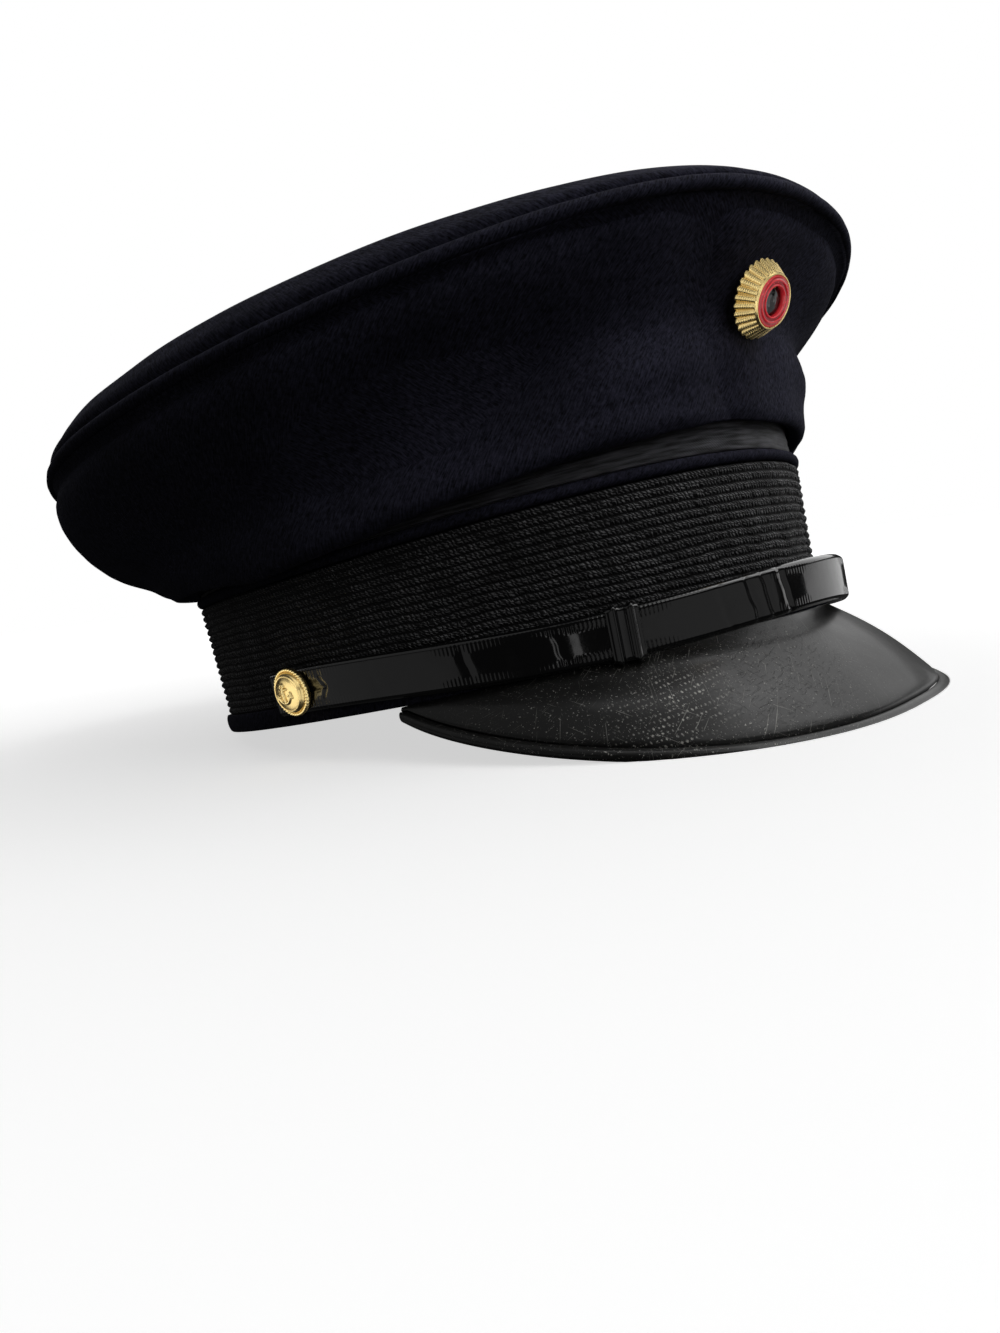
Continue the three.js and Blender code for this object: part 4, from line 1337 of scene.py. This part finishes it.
def cockade_ring(place):
    """Enamel ring with two raised lines."""
    detail = RING_DETAIL
    inner = COCKADE.ring_inner
    outer = COCKADE.face_radius - detail.inset
    base = COCKADE.height - COCKADE.seat_depth + GAP
    face = COCKADE.height + COCKADE.ring_stand - detail.sink
    profile = [(inner, base)]
    for k in range(detail.steps + 1):
        share = k / detail.steps
        raised = sum(height * hill(share - middle, spread) for middle, spread, height in RING_LINES)
        raised -= detail.inner_drop * max(0, 1 - share / detail.inner_width) ** 2
        raised -= detail.outer_drop * max(0, 1 - (1 - share) / detail.outer_width) ** 2
        profile.append((mix(inner, outer, share), face + raised))
    profile += [(outer, base), (inner, base)]
    return turned_object("cockade_ring_enamel", profile, detail.sides, place)


def cockade_centre(place):
    """Black middle, slightly domed, with faint rings in its glaze."""
    detail = CENTRE_DETAIL
    radius = COCKADE.ring_inner - GAP
    base = COCKADE.height - COCKADE.seat_depth + GAP
    edge = COCKADE.height - 2 * COCKADE.centre_sink
    profile = [(0, base), (radius, base)]
    for k in range(detail.steps + 1):
        share = 1 - k / detail.steps
        ripple = detail.ripple * math.cos(share * detail.ripple_rate)
        profile.append((radius * share, edge + COCKADE.centre_sink * (1 - share ** 2) + ripple))
    return turned_object("cockade_centre_enamel", profile, detail.sides, place)


# Stage
def make_camera(lens):
    """Camera at the photograph's angle to the cap."""
    data = bpy.data.cameras.new("camera")
    data.lens = lens
    data.sensor_width = SENSOR_WIDTH
    data.clip_start = 0.01
    camera = bpy.data.objects.new("camera", data)
    columns = [LEAN @ axis for axis in (CAMERA.right, CAMERA.up, CAMERA.back)]
    place = Matrix.Identity(4)
    for column, vector in enumerate((*columns, to_row(CAMERA.eye) * MM)):
        for row in range(3):
            place[row][column] = vector[row]
    camera.matrix_world = place
    bpy.context.scene.collection.objects.link(camera)
    return camera


def make_floor():
    """Pale floor that only the camera sees, so it throws no light or shadow on the cap."""
    floor = bpy.data.meshes.new("floor")
    corners = [(x * FLOOR_REACH, y * FLOOR_REACH, 0) for x, y in ((-1, -1), (1, -1), (1, 1), (-1, 1))]
    floor.from_pydata(corners, [], [(0, 1, 2, 3)])
    floor.materials.append(pale_paper())
    ground = bpy.data.objects.new("floor", floor)
    bpy.context.scene.collection.objects.link(ground)
    ground.visible_diffuse = False
    ground.visible_glossy = False
    ground.visible_shadow = False


def make_world(fill):
    """Dim light from all round, which the camera sees as white."""
    world = bpy.data.worlds.new("studio")
    world.use_nodes = True
    world.node_tree.nodes.clear()
    node = partial(add_node, world.node_tree)
    seen = node("LightPath").outputs["Is Camera Ray"]
    node("OutputWorld", node("Background", (1, 1, 1, 1), node("MapRange", seen, 0, 1, fill, 1)))
    return world


def soft_panel(name, azimuth, elevation, width, height, brightness, light):
    """Rectangular light that looks at the cap from one direction. Its energy grows with its area."""
    around, up = math.radians(azimuth), math.radians(elevation)
    direction = Vector((math.sin(around) * math.cos(up), -math.cos(around) * math.cos(up), math.sin(up)))
    data = bpy.data.lights.new(name, "AREA")
    data.shape = "RECTANGLE"
    data.size = 2 * PANEL_DISTANCE * math.tan(math.radians(width) / 2)
    data.size_y = 2 * PANEL_DISTANCE * math.tan(math.radians(height) / 2)
    data.energy = brightness * light * math.pi * data.size * data.size_y
    panel = bpy.data.objects.new(name, data)
    panel.location = direction * PANEL_DISTANCE
    panel.rotation_mode = "QUATERNION"
    panel.rotation_quaternion = (-direction).to_track_quat("-Z", "Y")
    bpy.context.scene.collection.objects.link(panel)
    return panel


def light_panels(brightness):
    """All the panels. Those for the gilt light only the gilt and enamel pieces."""
    gilt = bpy.data.collections.new("gilt pieces")
    for item in bpy.context.scene.collection.objects:
        if "gilt" in item.name or "enamel" in item.name:
            gilt.objects.link(item)
    for *panel, lights in PANELS:
        light = soft_panel(*panel, brightness)
        light.visible_camera = False
        light.visible_diffuse = lights != "gloss"
        light.visible_glossy = lights != "matt"
        if lights == "gilt":
            light.light_linking.receiver_collection = gilt


# Operators, panel and registration
class CapOperator:
    """Shared options of the operators that make pieces"""
    bl_options = {"REGISTER", "UNDO"}


class CAP_OT_crown(CapOperator, bpy.types.Operator):
    """Makes the crown's side, top panel and welt from brushed navy wool"""
    bl_idname = "cap.crown"
    bl_label = "Crown"

    def execute(self, context):
        wool = brushed_wool("brushed navy wool", context.scene.cap_cloth)
        dress(crown_side(), wool, "crown_cloth", "crown_side")
        dress(crown_top(), wool, "crown_cloth", "crown_top")
        dress(crown_welt(), wool, "crown_cloth", "crown_welt")
        return {"FINISHED"}


class CAP_OT_band(CapOperator, bpy.types.Operator):
    """Makes the braid, the satin strip, the piping and the binding of the band"""
    bl_idname = "cap.band"
    bl_label = "Band"

    def execute(self, context):
        # A copy of the same wool darkened to 0.9: painted shade on the band's piping and binding
        wool = brushed_wool("navy wool of the band", context.scene.cap_cloth, 0.9)
        braid = mohair_braid(context.scene.cap_braid)
        dress(satin_strip(), twill_satin(), "satin", "satin_strip")
        dress(band_piping(), wool, "crown_cloth", "band_piping")
        dress(braid_half("braid_left_half", 0, context.scene.cap_braid), braid, "braid", "braid_band")
        dress(braid_half("braid_right_half", math.pi, context.scene.cap_braid), braid, "braid")
        dress(bottom_binding(), wool, "crown_cloth", "bottom_binding")
        return {"FINISHED"}


class CAP_OT_peak(CapOperator, bpy.types.Operator):
    """Makes the worn patent leather peak and the bead along its edge"""
    bl_idname = "cap.peak"
    bl_label = "Peak"

    def execute(self, context):
        worn = worn_patent(context.scene.cap_patent.wear)
        dress(peak_panel(), worn, "patent_leather", "peak")
        dress(peak_bead(), worn, "patent_leather", "peak_bead")
        return {"FINISHED"}


class CAP_OT_strap(CapOperator, bpy.types.Operator):
    """Makes the chin strap and its keeper"""
    bl_idname = "cap.strap"
    bl_label = "Chin strap"

    def execute(self, context):
        patent = patent_leather()
        dress(chin_strap(context.scene.cap_patent), patent, "patent_leather", "chin_strap")
        dress(strap_keeper(), patent, "patent_leather", "strap_keeper")
        return {"FINISHED"}


class CAP_OT_gilt(CapOperator, bpy.types.Operator):
    """Makes the two anchor buttons and the cockade"""
    bl_idname = "cap.gilt"
    bl_label = "Buttons and cockade"

    def execute(self, context):
        settings = context.scene.cap_gilt
        gilt = gilt_metal(settings)
        dress(button("button_right_gilt", -1, settings), gilt, "gilt", "button_right")
        dress(button("button_left_gilt", 1, settings), gilt, "gilt", "button_left")
        place = cockade_place()
        red = enamel("red enamel", settings.enamel, 0.12)
        black = enamel("black enamel", hex_colour("060607")[:3], 0.1)
        dress(cockade_shell(place), gilt, "gilt", "cockade_shell")
        dress(cockade_ring(place), red, "red_enamel", "cockade_ring")
        dress(cockade_centre(place), black, "black_enamel", "cockade_centre")
        return {"FINISHED"}


class CAP_OT_stage(CapOperator, bpy.types.Operator):
    """Makes the camera, the pale floor and the soft lights"""
    bl_idname = "cap.stage"
    bl_label = "Stage"

    def execute(self, context):
        settings = context.scene.cap_stage
        context.scene.view_settings.view_transform = "Standard"
        context.scene.camera = make_camera(settings.lens)
        make_floor()
        context.scene.world = make_world(settings.fill)
        light_panels(settings.light)
        return {"FINISHED"}


class CAP_PT_panel(bpy.types.Panel):
    """Lists the steps that build the cap"""
    bl_label = "Naval officer cap"
    bl_idname = "CAP_PT_panel"
    bl_space_type = "VIEW_3D"
    bl_region_type = "UI"
    bl_category = "Cap"

    def draw(self, context):
        for operator in OPERATORS:
            self.layout.operator(operator.bl_idname)


SETTINGS = {
    "cap_cloth": CapClothSettings,
    "cap_braid": CapBraidSettings,
    "cap_patent": CapPatentSettings,
    "cap_gilt": CapGiltSettings,
    "cap_stage": CapStageSettings,
}
OPERATORS = (CAP_OT_crown, CAP_OT_band, CAP_OT_peak, CAP_OT_strap, CAP_OT_gilt, CAP_OT_stage)
CLASSES = (*SETTINGS.values(), *OPERATORS, CAP_PT_panel)


def register():
    for item in CLASSES:
        bpy.utils.register_class(item)
    for name, group in SETTINGS.items():
        setattr(bpy.types.Scene, name, bpy.props.PointerProperty(type=group))


def unregister():
    for name in SETTINGS:
        delattr(bpy.types.Scene, name)
    for item in reversed(CLASSES):
        bpy.utils.unregister_class(item)


def main():
    register()
    bpy.ops.cap.crown()
    bpy.ops.cap.band()
    bpy.ops.cap.peak()
    bpy.ops.cap.strap()
    bpy.ops.cap.gilt()
    bpy.ops.cap.stage()


if __name__ == "__main__":
    main()
